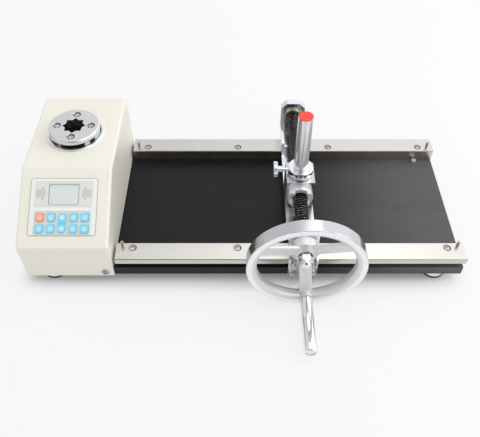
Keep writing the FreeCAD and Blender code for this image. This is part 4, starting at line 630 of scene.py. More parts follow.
@dataclass(frozen=True)
class PrintedFilm(Finish):
    """The panel's film: a pale ground with a display bezel and a key field printed on it, and a painted
    shadow round the display's window.
    """

    slope: Slope
    bezel_colour: Colour = (0.77, 0.78, 0.75)
    band_colour: Colour = (0.62, 0.62, 0.61)
    field_colour: Colour = (0.73, 0.715, 0.67)
    line_colour: Colour = (0.30, 0.29, 0.27)
    window: tuple[float, float] = (0.0234, 0.0168)
    bezel: tuple[float, float] = (0.0445, 0.0205)
    bezel_up: float = 0.0661
    band: tuple[float, float] = (0.0073, 0.0066)
    band_across: float = 0.036
    band_up: float = 0.0672
    keys: tuple[float, float] = (0.0436, 0.0186)
    keys_up: float = 0.0202
    film: tuple[float, float] = (0.0525, 0.046)
    blur: float = 0.0002
    line: float = 0.0005

    def shade_in(self, graph: Graph) -> None:
        """Build the finish in an empty graph."""
        across, up = self.slope.values(graph)
        bezel = rounded(across, up - self.bezel_up, self.bezel, 0.002)
        keys = rounded(across, up - self.keys_up, self.keys, 0.0025)
        film = rounded(across, up - self.film[1], self.film, 0.004)
        band = rounded(abs(across) - self.band_across, up - self.band_up, self.band, 0.0008)
        window = rounded(across, up - DISPLAY_UP, self.window, 0.002)
        in_bezel, in_band, in_keys = (shape.rise(self.blur, -self.blur) for shape in (bezel, band, keys))
        colour = graph.mix(in_bezel, self.colour, self.bezel_colour)
        colour = graph.mix(in_band, colour, self.band_colour)
        colour = graph.mix(in_keys, colour, self.field_colour)
        line = abs(bezel).rise(self.line, self.blur).at_least(abs(keys).rise(self.line, self.blur))
        colour = graph.mix(line * 0.40, colour, self.line_colour)
        colour = graph.mix(window.rise(0.0016, 0.0013), colour, shade(self.colour, 0.93))
        # Painted shadow: a dark line round the display's window
        colour = graph.mix(window.rise(0.0009, 0.0004) * 0.85, colour, self.line_colour)
        texture = graph.noise(0.0007, 1.0)
        printed = in_bezel.at_least(in_keys)
        graph.finish(
            Base_Color=graph.mix(film.rise(-0.0010, -0.0007) * 0.80, colour, self.line_colour),
            Roughness=0.30 + printed * 0.08 + (texture - 0.5) * 0.06,
            Coat_Weight=0.25,
            Coat_Roughness=0.1,
            Normal=graph.bump(texture * 0.2 + printed, 0.00003),
        )


@dataclass(frozen=True)
class LiquidCrystal(Finish):
    """The unlit display behind its window, a little darker round its edge."""

    slope: Slope
    top_shadow: float = 0.006

    def shade_in(self, graph: Graph) -> None:
        """Build the finish in an empty graph."""
        half_width, half_height = DISPLAY_HALF
        across, up = self.slope.values(graph)
        shadow = rounded(across, up - DISPLAY_UP, DISPLAY_HALF, 0.001).rise(-0.0022, -0.0002)
        top = up.rise(DISPLAY_UP + half_height - self.top_shadow, DISPLAY_UP + half_height)
        drift = across.rise(-half_width, half_width)
        grid = graph.noise(0.0004, 0.0)
        colour = graph.mix(drift, self.colour, shade(self.colour, 1.06))
        colour = graph.mix(top * 0.25, colour, shade(self.colour, 0.62))
        graph.finish(
            Base_Color=graph.mix(shadow * 0.55, colour, shade(self.colour, 0.42)),
            Roughness=0.22 + (grid - 0.5) * 0.08,
            Normal=graph.bump(grid, 0.000003),
        )


# Mesh helpers


def mesh_object(name: str, mesh: bmesh.types.BMesh, smooth_angle: float = 35.0) -> bpy.types.Object:
    """Turn a bmesh into a linked object.

    Args:
        name: The object's name.
        mesh: The bmesh, which is freed.
        smooth_angle: Edges that turn by more than this many degrees stay sharp.

    Returns:
        The object.
    """
    bmesh.ops.recalc_face_normals(mesh, faces=mesh.faces)
    data = bpy.data.meshes.new(name)
    mesh.to_mesh(data)
    mesh.free()
    for polygon in data.polygons:
        polygon.use_smooth = True
    data.set_sharp_from_angle(angle=math.radians(smooth_angle))
    piece = bpy.data.objects.new(name, data)
    bpy.context.scene.collection.objects.link(piece)
    return piece


def spokes_round(axis: Vector, steps: int) -> list[Vector]:
    """Unit vectors square to an axis, spread evenly round it."""
    side = Axis.Z.vector if abs(axis.z) < 0.9 else Axis.X.vector
    first = axis.cross(side).normalized()
    second = axis.cross(first).normalized()
    turns = [2.0 * math.pi * step / steps for step in range(steps)]
    return [first * math.cos(turn) + second * math.sin(turn) for turn in turns]


def lathe(mesh: bmesh.types.BMesh, base: Vector, axis: Vector, profile: Profile, steps: int = 96) -> None:
    """Turn a profile about an axis.

    Args:
        mesh: The bmesh that takes the faces.
        base: The axis's start.
        axis: Its direction.
        profile: Pairs of radius and distance along the axis. A radius of 0 closes an end.
        steps: How many steps the turn has.
    """
    rings = []
    for radius, along in profile:
        spokes = spokes_round(axis, steps if radius > 0.0 else 1)
        rings.append([mesh.verts.new(base + axis * along + spoke * radius) for spoke in spokes])
    for lower, upper in zip(rings, rings[1:]):
        for step in range(steps):
            places = ((lower, step), (lower, step + 1), (upper, step + 1), (upper, step))
            corners = dict.fromkeys(ring[place % len(ring)] for ring, place in places)
            if len(corners) > 2:
                mesh.faces.new(list(corners))


def flat_ring(inner: float, outer: float, low: float, high: float) -> Profile:
    """The closed profile of a flat ring between two radii and two heights, for the lathe."""
    return [(inner, low), (inner, high), (outer, high), (outer, low), (inner, low)]


def skin(mesh: bmesh.types.BMesh, rings: Sequence[Sequence[bmesh.types.BMVert]]) -> None:
    """Join rings that have as many vertices each into one skin, closed at both ends."""
    for lower, upper in zip(rings, rings[1:]):
        for step in range(len(lower)):
            following = (step + 1) % len(lower)
            mesh.faces.new([lower[step], lower[following], upper[following], upper[step]])
    mesh.faces.new(rings[0])
    mesh.faces.new(list(reversed(rings[-1])))


def slab(mesh: bmesh.types.BMesh, outline: Sequence[Vector], depth: Vector) -> None:
    """Add a closed slab between an outline and the same outline moved by a depth."""
    skin(mesh, [[mesh.verts.new(corner + shift) for corner in outline] for shift in (Vector(), depth)])


def weld(mesh: bmesh.types.BMesh) -> None:
    """Join vertices of a bmesh that lie on one another."""
    bmesh.ops.remove_doubles(mesh, verts=mesh.verts, dist=0.000001)


def soften(piece: bpy.types.Object, width: float) -> None:
    """Round a piece's sharp edges by modifiers, which leave its own mesh as it is.

    Args:
        piece: The piece.
        width: The width of the rounding, in metres.
    """
    joined = piece.modifiers.new("weld", "WELD")
    joined.merge_threshold = 0.00001
    bevel = piece.modifiers.new("edges", "BEVEL")
    bevel.limit_method = "ANGLE"
    bevel.angle_limit = math.radians(30.0)
    bevel.width = width
    bevel.segments = 2
    bevel.use_clamp_overlap = True
    level = piece.modifiers.new("level_faces", "WEIGHTED_NORMAL")
    level.mode = "FACE_AREA"
    level.weight = 100


def attach(
    piece: bpy.types.Object, body: str, material: bpy.types.Material, replaced: Iterable[str] = ()
) -> None:
    """Dress a new piece and hang it on its body.

    Args:
        piece: The piece.
        body: The CAD body that it rides on.
        material: Its material.
        replaced: The CAD nodes that it stands for.
    """
    piece.data.materials.clear()
    piece.data.materials.append(material)
    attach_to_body(piece, body)
    if replaced:
        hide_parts(*replaced)
    LOG.info("%s rides on %s", piece.name, body)


def centre_of(node: str) -> Vector:
    """The middle of a CAD node's box."""
    low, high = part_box(node)
    return (low + high) / 2


def points_of(node: str) -> list[Vector]:
    """The vertices of a CAD node."""
    return [vertex.co.copy() for vertex in frame["nodes"][node].data.vertices]


def joint(name: str) -> dict[str, Any]:
    """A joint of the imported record."""
    return next(entry for entry in frame["joints"] if entry["name"] == name)


def heads(node: str, reach: float = 0.012, depth: float = 0.002) -> list[tuple[Vector, float]]:
    """Find the screws of a node that holds several upright ones.

    Args:
        node: The node.
        reach: How near to its first vertex a screw's other ones lie.
        depth: How far below its top a screw's vertices still belong to its head.

    Returns:
        The middle of each screw's top, and the radius of its head.
    """
    screws: list[list[Vector]] = []
    for point in points_of(node):
        screw = next((known for known in screws if (point - known[0]).xy.length < reach), None)
        if screw is None:
            screws.append([point])
        else:
            screw.append(point)
    found = []
    for screw in screws:
        top = max(point.z for point in screw)
        rim = [point for point in screw if point.z > top - depth]
        low = Vector((min(point.x for point in rim), min(point.y for point in rim), top))
        high = Vector((max(point.x for point in rim), max(point.y for point in rim), top))
        found.append(((low + high) / 2, (high.x - low.x) / 2))
    return found


def screw_shade_rings(name: str, node: str, material: bpy.types.Material) -> None:
    """Build the painted shade: a dark ring on the socket heads of some upright screws, where their
    counterbores shade them.

    Args:
        name: The new piece's name.
        node: The screws' node.
        material: The ring's material.
    """
    socket_share = 0.68
    margin = 0.0001
    rise = 0.00008
    mesh = bmesh.new()
    for middle, radius in heads(node):
        profile = flat_ring(radius * socket_share, radius - margin, -rise, rise)
        lathe(mesh, middle, Axis.Z.vector, profile, 40)
    weld(mesh)
    attach(mesh_object(name, mesh), "root", material)


# Sub-assemblies


@dataclass
class Palette:
    """The finishes that several sub-assemblies share."""

    ivory: Finish = PowderCoat("ivory_coat", (0.900, 0.880, 0.780))
    black: Finish = BlackCoat("black_coat", (0.0045, 0.0045, 0.0055))
    rail: Finish = BrushedSteel("rail_steel", (0.665, 0.645, 0.605))
    chrome: Finish = Plated("bright_chrome", (0.84, 0.85, 0.87), 0.06)
    satin_chrome: Finish = Plated("satin_chrome", (0.80, 0.81, 0.83), 0.16, 0.00005, 0.10)
    stainless: Finish = Plated("stainless_screws", (0.86, 0.835, 0.81), 0.27, 0.00002, metallic=0.80)
    zinc: Finish = Plated("pale_zinc", (0.74, 0.83, 0.87), 0.30, 0.00002)
    dull_steel: Finish = Plated("dull_steel", (0.40, 0.39, 0.38), 0.34, 0.00002)
    bronze: Finish = Plated("bush_bronze", (0.62, 0.54, 0.42), 0.32, 0.00002)
    rubber: Finish = Moulded("foot_rubber", (0.030, 0.030, 0.032), 0.75, 0.0008, 0.00004)
    # Painted shade: the dark rings laid on screw heads where their counterbores shade them
    gap: Finish = Moulded("painted_screw_shade", (0.006, 0.0055, 0.005), 0.7, 0.0008, 0.00002)
    made: dict[str, bpy.types.Material] = field(default_factory=dict)

    def __call__(self, name: str) -> bpy.types.Material:
        """The material of a finish, made the first time it is asked for."""
        if name not in self.made:
            self.made[name] = getattr(self, name).make()
        return self.made[name]


@dataclass
class Assembly:
    """A sub-assembly: pieces that are built beside the CAD nodes, and the nodes' own finishes."""

    palette: Palette

    def build(self) -> None:
        """Build the pieces that the CAD nodes leave out. There are none by default."""

    def dress(self) -> None:
        """Dress the CAD nodes."""
        raise NotImplementedError

    def coat(self, nodes: Iterable[str], finish: str | Finish, bevel: float = 0.0) -> None:
        """Give CAD nodes a finish and, where asked, rounded edges.

        Args:
            nodes: The nodes' names.
            finish: A finish, or the name of one in the palette.
            bevel: The width of the rounding in metres, or 0 for none.
        """
        material = self.palette(finish) if isinstance(finish, str) else finish.make()
        for name in nodes:
            piece = frame["nodes"][name]
            piece.data.materials.clear()
            piece.data.materials.append(material)
            if bevel:
                soften(piece, bevel)
            LOG.info("%s is dressed with %s", name, material.name)


@dataclass
class Base(Assembly):
    """Base plate, rails, their fasteners and the feet."""

    plate_edge: float = 0.0006
    rail_edge: float = 0.0003
    pad_edge: float = 0.0004

    def build(self) -> None:
        """Build the painted shade on the heads of the rail screws."""
        screw_shade_rings("rail_screw_shade", "rail_screws", self.palette("gap"))

    def dress(self) -> None:
        """Dress the CAD nodes of the base."""
        self.coat(["base_plate"], "black", self.plate_edge)
        self.coat(["front_rail", "rear_rail"], "rail", self.rail_edge)
        self.coat(["rail_screws", "plate_screw", "foot_screws"], "stainless")
        self.coat(["stop_pins"], "dull_steel")
        self.coat(["foot_cups"], "zinc")
        self.coat(["foot_pads"], "rubber", self.pad_edge)


@dataclass
class Housing(Assembly):
    """The cover, the drive in its top, the sockets in its rear wall and what it holds."""

    edge: float = 0.0003
    drive_edge: float = 0.0004
    bright_band: float = 0.0068
    # The depth of the band at the top of the drive's side, below which a dark reflection is painted
    pin_pitch: float = 0.00277
    pin_rows: tuple[tuple[float, int], ...] = ((0.5, 5), (-0.5, 4))
    pin_profile: Profile = ((0.0, 0.0), (0.0005, 0.0), (0.0005, 0.0035), (0.00025, 0.0038), (0.0, 0.0038))
    charge_profile: Profile = ((0.0, -0.010), (0.001, -0.010), (0.001, -0.0006), (0.0006, 0.0), (0.0, 0.0))
    bar: tuple[float, float] = (0.0004, 0.0025)
    ring: tuple[float, float] = (0.0017, 0.0025)
    mark_sunk: float = 0.00005
    mark_rise: float = 0.00007

    def build(self) -> None:
        """Build the painted shade on the drive's screws, the sockets' pins and the marks of the switch."""
        screw_shade_rings("drive_screw_shade", "flange_screws", self.palette("gap"))
        self.data_pins()
        self.charge_pin()
        self.rocker_marks()

    def data_pins(self) -> None:
        """Build the nine pins of the data socket, in a row of five over a row of four."""
        low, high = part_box("data_socket")
        centre = (low + high) / 2
        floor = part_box("housing_cover")[1].y + 0.001
        mesh = bmesh.new()
        for row, count in self.pin_rows:
            for number in range(count):
                across = (number - (count - 1) / 2) * self.pin_pitch
                foot = Vector((centre.x + across, floor, centre.z + row * self.pin_pitch))
                lathe(mesh, foot, Axis.Y.vector, self.pin_profile, 12)
        gold = Plated("pin_gold", (0.80, 0.62, 0.28), 0.2).make()
        attach(mesh_object("data_pins", mesh), "root", gold)

    def charge_pin(self) -> None:
        """Build the middle pin of the charging socket."""
        centre = centre_of("charge_socket")
        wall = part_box("housing_cover")[1].y
        mesh = bmesh.new()
        lathe(mesh, Vector((centre.x, wall, centre.z)), Axis.Y.vector, self.charge_profile, 24)
        attach(mesh_object("charge_pin", mesh), "root", self.palette("stainless"))

    def rocker_marks(self) -> None:
        """Build a bar and a ring on the two halves of the rocker."""
        halves: dict[tuple[float, ...], list[bpy.types.MeshPolygon]] = {}
        for face in frame["nodes"]["power_rocker"].data.polygons:
            if face.normal.y > 0.9:
                halves.setdefault(tuple(round(part, 2) for part in face.normal), []).append(face)
        pair = sorted(halves.values(), key=lambda faces: sum(face.area for face in faces))[-2:]
        lower, upper = sorted(pair, key=lambda faces: faces[0].center.z)
        mesh = bmesh.new()
        middle, out = self.middle_of(upper)
        up = Axis.X.vector.cross(out)
        half, tall = self.bar
        corners = [(-half, -tall), (half, -tall), (half, tall), (-half, tall)]
        foot = middle - out * self.mark_sunk
        outline = [foot + Axis.X.vector * across + up * along for across, along in corners]
        slab(mesh, outline, out * (self.mark_sunk + self.mark_rise))
        middle, out = self.middle_of(lower)
        lathe(mesh, middle, out, flat_ring(*self.ring, -self.mark_sunk, self.mark_rise), 48)
        weld(mesh)
        ink = Moulded("switch_ink", (0.86, 0.86, 0.85), 0.45, 0.0005, 0.000005).make()
        attach(mesh_object("rocker_marks", mesh), "rocker", ink)

    @staticmethod
    def middle_of(faces: Sequence[bpy.types.MeshPolygon]) -> tuple[Vector, Vector]:
        """The middle of some level faces and the direction out of them."""
        area = sum(face.area for face in faces)
        middle = sum((face.center * face.area for face in faces), Vector()) / area
        return middle, faces[0].normal.copy()

    def dress(self) -> None:
        """Dress the CAD nodes of the housing."""
        low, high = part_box("drive_flange")
        side, band = (high.x - low.x) / 2, high.z - self.bright_band
        disc = DriveDisc("drive_steel", (0.765, 0.76, 0.755), tuple((low + high) / 2), side, band)
        black = Moulded("black_moulding", (0.02, 0.02, 0.022), 0.35, 0.0005, 0.00001, 0.1)
        self.coat(["housing_cover"], "ivory")
        self.coat(["flange_screws", "sensor_screws", "board_screws"], "stainless")
        self.coat(["cover_screws"], "dull_steel")
        self.coat(["trim_ring"], Plated("matte_nickel", (0.86, 0.85, 0.82), 0.45, 0.00002), self.edge)
        self.coat(["drive_flange"], disc, self.drive_edge)
        self.coat(["torque_sensor"], "rail")
        self.coat(["control_board"], Board("solder_mask", (0.02, 0.11, 0.045)))
        self.coat(["battery_pack"], Moulded("battery_sleeve", (0.05, 0.12, 0.35), 0.3, 0.002, 0.00002, 0.4))
        self.coat(["switch_body", "power_rocker", "charge_socket"], black, self.edge)
        self.coat(["data_socket"], Plated("nickel_shell", (0.66, 0.64, 0.60), 0.25), self.edge)


@dataclass
class Panel(Assembly):
    """The operating panel: film, display, lamps and keys."""

    slope: Slope
    thickness: float = 0.001
    pane_gap: float = 0.00015
    lamp_across: tuple[float, float] = (-0.033, 0.033)
    lamp_up: tuple[float, float] = (0.0757, 0.0584)
    lamp_sunk: float = 0.0002
    lamp_profile: Profile = (
        (0.0, 0.0), (0.0009, 0.0), (0.0009, 0.0003), (0.00072, 0.0005), (0.00036, 0.0006), (0.0, 0.00063),
    )
    arrow: tuple[float, float] = (0.0031, 0.0025)
    arrow_sunk: float = 0.00005
    mark_height: float = 0.00012
    key_edge: float = 0.0005
    blue: Colour = (0.17, 0.70, 0.98)
    orange: Colour = (0.98, 0.34, 0.18)

    @staticmethod
    def from_frame(palette: Palette) -> "Panel":
        """The panel, with its slope read from a key's joint and the film's place."""
        press = joint("key_power_press")["axis"]
        angle = math.atan2(press[1], -press[2])
        low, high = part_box("panel_overlay")
        origin = Vector(((low.x + high.x) / 2, low.y + math.sin(angle) * Panel.thickness, low.z))
        return Panel(palette, Slope(origin, angle))

    def build(self) -> None:
        """Build the display's pane, the lamps and the arrows."""
        self.pane()
        self.lamps()
        self.arrow_mark("key_up", 1.0)
        self.arrow_mark("key_down", -1.0)

    def pane(self) -> None:
        """Build the clear pane in place of the CAD window, just off the display behind it."""
        half, tall = DISPLAY_HALF
        corners = [(-half, -tall), (half, -tall), (half, tall), (-half, tall)]
        outline = [self.slope.at(across, DISPLAY_UP + up, self.pane_gap) for across, up in corners]
        mesh = bmesh.new()
        slab(mesh, outline, self.slope.out * (self.thickness - self.pane_gap))
        glass = ClearPane("clear_pane", (0.97, 0.99, 1.0)).make()
        attach(mesh_object("display_pane", mesh), "root", glass, ["display_window"])

    def lamps(self) -> None:
        """Build the four small lamps beside the display."""
        mesh = bmesh.new()
        for across in self.lamp_across:
            for up in self.lamp_up:
                foot = self.slope.at(across, up, self.thickness - self.lamp_sunk)
                lathe(mesh, foot, self.slope.out, self.lamp_profile, 24)
        lens = Moulded("lamp_lens", (0.10, 0.035, 0.03), 0.15, 0.0005, 0.000004, 0.6).make()
        attach(mesh_object("panel_lamps", mesh), "root", lens)

    def arrow_mark(self, key: str, direction: float) -> None:
        """Build the pale triangle on one of the arrow keys.

        Args:
            key: The key's node.
            direction: 1 for up, -1 for down.
        """
        half, tall = self.arrow
        foot = self.key_middle(key) - self.slope.out * self.arrow_sunk
        corners = [(-half, -tall * direction), (half, -tall * direction), (0.0, tall * direction)]
        outline = [foot + Axis.X.vector * across + self.slope.up * up for across, up in corners]
        mesh = bmesh.new()
        slab(mesh, outline, self.slope.out * self.mark_height)
        ink = Moulded("arrow_ink", (0.88, 0.93, 0.95), 0.45, 0.0005, 0.000005).make()
        attach(mesh_object(f"{key}_arrow", mesh), f"{key}_cap", ink)

    def key_middle(self, key: str) -> Vector:
        """The middle of a key's top, which on the long pair is level with the other keys of its row."""
        rows = {"key_up": "key_unit", "key_down": "key_store"}
        points = points_of(rows.get(key, key))
        outs = [(point - self.slope.origin).dot(self.slope.out) for point in points]
        face = [point for point, out in zip(points, outs) if out > max(outs) - 0.0001]
        middle = sum(face, Vector()) / len(face)
        if key in rows:
            middle.x = self.slope.origin.x
        return middle

    def dress(self) -> None:
        """Dress the film, the display and the keys."""
        self.coat(["panel_overlay"], PrintedFilm("printed_film", (0.89, 0.905, 0.87), self.slope))
        self.coat(["display_module"], LiquidCrystal("liquid_crystal", (0.90, 1.0, 0.985), self.slope))
        for name in (node for node in frame["nodes"] if node.startswith("key_")):
            colour = self.orange if name == "key_power" else self.blue
            plastic = KeyPlastic(f"{name}_plastic", colour, tuple(self.key_middle(name)))
            self.coat([name], plastic, self.key_edge)


@dataclass
class Carriage(Assembly):
    """The cross frame, the bearing blocks and bushes, the keepers and their screws."""

    edge: float = 0.0005
    bush_edge: float = 0.0003

    def dress(self) -> None:
        """Dress the CAD nodes of the carriage."""
        self.coat(["carriage_frame", "front_keeper", "rear_keeper"], "satin_chrome", self.edge)
        self.coat(["front_bearing_block", "rear_bearing_block"], "satin_chrome", self.edge)
        self.coat(["block_screws", "keeper_screws", "lock_screws"], "stainless")
        self.coat(["front_bush", "rear_bush"], "bronze", self.bush_edge)


@dataclass
class Spindle(Assembly):
    """The lead screw with its thread, the handwheel, the dome nut and the crank."""

    pitch: float = 0.005
    thread_radius: float = 0.011
    root_radius: float = 0.00845
    relief: float = 0.001
    journal_radius: float = 0.008
    journal_edge: float = 0.0008
    stud_radius: float = 0.006
    stud_edge: float = 0.0005
    crest: float = 0.0016
    root: float = 0.0032
    sunk: float = 0.0003
    steps: int = 48
    fade_turns: float = 0.4
    faded: float = 0.02
    boss_rise: float = 0.0005
    wheel_edge: float = 0.0008

    def build(self) -> None:
        """Build the lead screw's core and its trapezoidal thread in place of the CAD cylinder."""
        wheel = joint("handwheel_turn")["pos_m"]
        centre = Vector((wheel[0], 0.0, wheel[2]))
        points = points_of("lead_screw")
        low, high = min(point.y for point in points), max(point.y for point in points)
        first, last = self.span(points, centre, self.thread_radius)
        start, end = first - self.relief, last + self.relief
        stud, journal, core = self.stud_radius, self.journal_radius, self.root_radius
        stud_end = self.span(points, centre, stud)[1]
        mesh = bmesh.new()
        profile = [
            (0.0, low), (stud - self.stud_edge, low), (stud, low + self.stud_edge), (stud, stud_end),
            (journal, stud_end), (journal, start), (core, start), (core, end), (journal, end),
            (journal, high - self.journal_edge), (journal - self.journal_edge, high), (0.0, high),
        ]
        lathe(mesh, centre, Axis.Y.vector, profile, 72)
        self.ridge(mesh, centre, start, end)
        oxide = OiledOxide("oiled_oxide", (0.014, 0.013, 0.0125), tuple(centre), self.thread_radius)
        screw = mesh_object("lead_screw_thread", mesh, 40.0)
        attach(screw, "spindle", oxide.make(), ["lead_screw"])

    @staticmethod
    def span(
        points: Iterable[Vector], centre: Vector, radius: float, near: float = 0.0001
    ) -> tuple[float, float]:
        """Where along Y the points that lie at a radius from the screw's axis start and end."""
        level = [point.y for point in points if abs((point - centre).xz.length - radius) < near]
        return min(level), max(level)

    def ridge(self, mesh: bmesh.types.BMesh, centre: Vector, start: float, end: float) -> None:
        """Wind the thread's ridge round the core as one closed strip.

        Args:
            mesh: The bmesh that takes the faces.
            centre: A point on the screw's axis.
            start: Where the thread starts along Y.
            end: Where it ends.
        """
        foot, top = self.root / 2, self.crest / 2
        margin = foot + self.sunk
        count = int((end - start - 2 * margin) / self.pitch * self.steps)
        fading = self.steps * self.fade_turns
        inner = self.root_radius - self.sunk
        rings = []
        for step in range(count + 1):
            turn = 2.0 * math.pi * step / self.steps
            spoke = Vector((math.cos(turn), 0.0, math.sin(turn)))
            fade = max(self.faded, min(1.0, step / fading, (count - step) / fading))
            outer = inner + (self.thread_radius - inner) * fade
            middle = start + margin + self.pitch * step / self.steps
            section = [(inner, -foot), (outer, -top), (outer, top), (inner, foot)]
            places = [centre + spoke * radius + Axis.Y.vector * (middle + along) for radius, along in section]
            rings.append([mesh.verts.new(place) for place in places])
        skin(mesh, rings)

    def dress(self) -> None:
        """Dress the CAD nodes of the spindle and its handle."""
        wheel = joint("handwheel_turn")["pos_m"]
        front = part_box("handwheel")[0].y + self.boss_rise
        iron = CastWheel("cast_wheel", (0.58, 0.59, 0.61), tuple(wheel), front)
        self.coat(["handwheel"], iron, self.wheel_edge)
        self.coat(["wheel_key", "crank_stud"], "stainless")
        self.coat(["crank_handle"], "chrome")
        self.coat(["dome_nut"], Plated("warm_nickel", (0.86, 0.83, 0.79), 0.20))


@dataclass
class NutSlide(Assembly):
    """The nut block with its nut and collar, the reaction post and the thumb screw."""

    edge: float = 0.0003
    block_edge: float = 0.0004
    teeth: int = 60
    tooth: float = 0.0004
    tooth_steps: int = 4
    head: float = 0.0065
    head_edge: float = 0.0008
    neck: float = 0.0071
    neck_radius: float = 0.0055
    shaft_radius: float = 0.003
    shaft_edge: float = 0.0006

    def build(self) -> None:
        """Build the thumb screw with its straight knurl in place of the CAD one."""
        low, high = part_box("thumb_screw")
        centre = (low + high) / 2
        radius, length = (high.z - low.z) / 2, high.x - low.x
        head, edge, axis = self.head, self.head_edge, Axis.X.vector
        base = Vector((low.x, centre.y, centre.z))
        spokes = spokes_round(axis, self.teeth * self.tooth_steps)
        gaps = [self.tooth * (step % self.tooth_steps >= self.tooth_steps / 2) for step in range(len(spokes))]
        levels = (
            (0.0, radius - edge, 0), (edge, radius, 1), (head - edge, radius, 1), (head, radius - edge, 0),
        )
        mesh = bmesh.new()
        rings = []
        for along, reach, cut in levels:
            foot = base + axis * along
            places = [foot + spoke * (reach - gap * cut) for spoke, gap in zip(spokes, gaps)]
            rings.append([mesh.verts.new(place) for place in places])
        skin(mesh, rings)
        shoulder, shaft, turned = head + self.neck, self.shaft_radius, self.shaft_edge
        profile = [
            (0.0, head), (self.neck_radius, head), (self.neck_radius, shoulder - turned),
            (self.neck_radius - turned, shoulder), (shaft, shoulder),
            (shaft, length - turned), (shaft - turned, length), (0.0, length),
        ]
        lathe(mesh, base, axis, profile, 48)
        screw = mesh_object("thumb_screw_knurled", mesh, 25.0)
        attach(screw, "thumb", self.palette("zinc"), ["thumb_screw"])

    def dress(self) -> None:
        """Dress the CAD nodes of the nut slide."""
        block = Plated("block_chrome", (0.60, 0.61, 0.625), 0.18, 0.00005)
        nickel = Plated("turned_nickel", (0.90, 0.90, 0.90), 0.30, 0.00002, metallic=0.62)
        ground = Plated("ground_chrome", (0.90, 0.91, 0.93), 0.17, 0.00001, metallic=0.62)
        red = Moulded("red_cap", (0.95, 0.050, 0.031), 0.42, 0.0008, 0.00001, 0.2)
        self.coat(["nut_block"], block, self.block_edge)
        self.coat(["flanged_nut"], nickel, self.edge)
        self.coat(["nut_screws"], "stainless")
        self.coat(["post_collar"], "satin_chrome", self.edge)
        self.coat(["reaction_post"], ground, self.edge)
        self.coat(["post_cap"], red, self.edge)


# Studio


@dataclass(frozen=True)
class Softbox:
    """A soft light that looks at the middle of the object, with a face as bright as its radiance."""

    name: str
    place: Point
    size: tuple[float, float]
    radiance: float
    target: Point = (0.0, 0.0, 0.05)

    def hang(self) -> None:
        """Hang the light in its place."""
        light = bpy.data.lights.new(self.name, "AREA")
        light.shape = "RECTANGLE"
        light.size, light.size_y = self.size
        light.energy = self.radiance * math.pi * self.size[0] * self.size[1]
        lamp = bpy.data.objects.new(self.name, light)
        lamp.location = self.place
        gaze = Vector(self.target) - Vector(self.place)
        lamp.rotation_euler = gaze.to_track_quat("-Z", "Y").to_euler()
        bpy.context.scene.collection.objects.link(lamp)


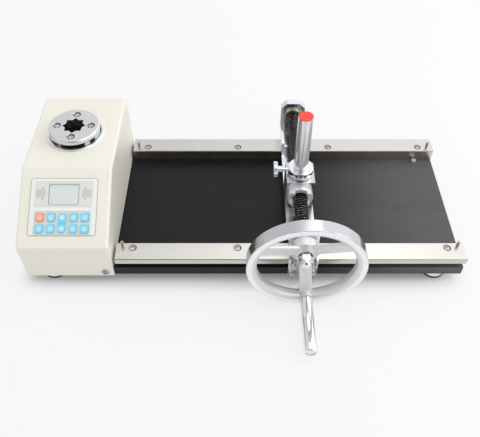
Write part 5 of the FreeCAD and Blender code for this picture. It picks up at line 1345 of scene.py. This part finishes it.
@dataclass
class Studio:
    """The plain floor, the soft lights, the white surround and the camera."""

    camera_place: Point = (-0.00534, -0.64296, 0.78947)
    pitch: float = 48.9946
    lens: float = 43.617
    sensor: float = 36.0
    floor_size: float = 40.0
    floor_level: float = -0.0002
    floor_colour: Colour = (0.93, 0.93, 0.935)
    lifted: tuple[float, float] = (0.12, 0.80)
    spread: tuple[float, float] = (-0.01, 0.029)
    lights: tuple[Softbox, ...] = (
        Softbox("overhead", (0.35, 0.10, 1.9), (2.4, 1.8), 0.87),
        Softbox("side", (1.6, 0.2, 0.9), (1.0, 1.2), 2.3),
    )
    fill: Colour = (0.71, 0.71, 0.71)
    left: Colour = (0.79, 0.79, 0.80)
    right: Colour = (1.20, 1.20, 1.21)
    dim: Colour = (0.10, 0.10, 0.11)
    white: Colour = (1.0, 1.0, 1.0)
    none: Colour = (0.0, 0.0, 0.0)

    def build(self) -> None:
        """Build the floor, the surround, the lights and the camera."""
        self.floor()
        self.surround()
        for light in self.lights:
            light.hang()
        self.camera()

    def floor(self) -> None:
        """Build the pale floor, which keeps the soft shadow.

        Seen by the camera or in metal, it shines a little by itself, least beside the object, so
        that it is pale all over and still darkens where the object shades it.
        """
        half = self.floor_size / 2
        mesh = bmesh.new()
        corners = ((-half, -half), (half, -half), (half, half), (-half, half))
        mesh.faces.new([mesh.verts.new((x, y, self.floor_level)) for x, y in corners])
        piece = mesh_object("studio_floor", mesh)
        material = bpy.data.materials.new("studio_floor")
        graph = Graph(material)
        low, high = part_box("base_plate")
        middle = (low + high) / 2
        x, y, _ = graph.place()
        plate = ((high.x - low.x) / 2, (high.y - low.y) / 2)
        beyond = rounded(x - middle.x, y - middle.y, plate, 0.01)
        near, far = self.lifted
        seen = graph.rays("Camera", "Glossy", "Transmission")
        lifted = seen * (near + beyond.rise(*self.spread) * (far - near))
        graph.finish(
            Base_Color=graph.mix(lifted, self.floor_colour, self.none),
            Roughness=0.6,
            Specular_IOR_Level=0.2,
            Emission_Color=graph.mix(lifted, self.none, self.floor_colour),
            Emission_Strength=1.0,
        )
        piece.data.materials.append(material)

    def surround(self) -> None:
        """Make the world: white to the camera, brighter to the right in reflections, with dark strips."""
        world = bpy.data.worlds.new("studio_world")
        bpy.context.scene.world = world
        graph = Graph(world)
        x, y, z = graph.split(graph.add("ShaderNodeTexCoord").outputs["Generated"])
        strip = y.rise(-0.25, -0.55) * z.rise(0.15, 0.3) * abs(x).rise(0.45, 0.25)
        flank = abs(x).rise(0.88, 0.95) * abs(z).rise(0.40, 0.25)
        soft = graph.mix(x.rise(-0.45, 0.40), self.left, self.right)
        mirrored = graph.mix(strip.at_least(flank * 0.7), soft, self.dim)
        plain = graph.mix(graph.rays("Glossy"), self.fill, mirrored)
        colour = graph.mix(graph.rays("Camera", "Transmission"), plain, self.white)
        background = graph.add("ShaderNodeBackground", None, {"Color": colour, "Strength": 1.0})
        graph.add("ShaderNodeOutputWorld", None, {"Surface": background.outputs[0]})

    def camera(self) -> None:
        """Set the camera at the photograph's viewing angle."""
        data = bpy.data.cameras.new("camera")
        data.lens = self.lens
        data.sensor_width = self.sensor
        camera = bpy.data.objects.new("camera", data)
        camera.location = self.camera_place
        camera.rotation_euler = (math.radians(90.0 - self.pitch), 0.0, 0.0)
        bpy.context.scene.collection.objects.link(camera)
        bpy.context.scene.camera = camera
        bpy.context.scene.view_settings.view_transform = "Standard"


def main() -> None:
    """Build the studio, then build and dress every sub-assembly."""
    logging.basicConfig(level=logging.INFO, format="%(name)s: %(message)s")
    Studio().build()
    palette = Palette()
    for piece in frame["nodes"].values():
        for polygon in piece.data.polygons:
            polygon.use_smooth = True
    kinds = (Base, Housing, Panel.from_frame, Carriage, Spindle, NutSlide)
    for assembly in [kind(palette) for kind in kinds]:
        assembly.build()
        assembly.dress()


if __name__ == "__main__":
    main()
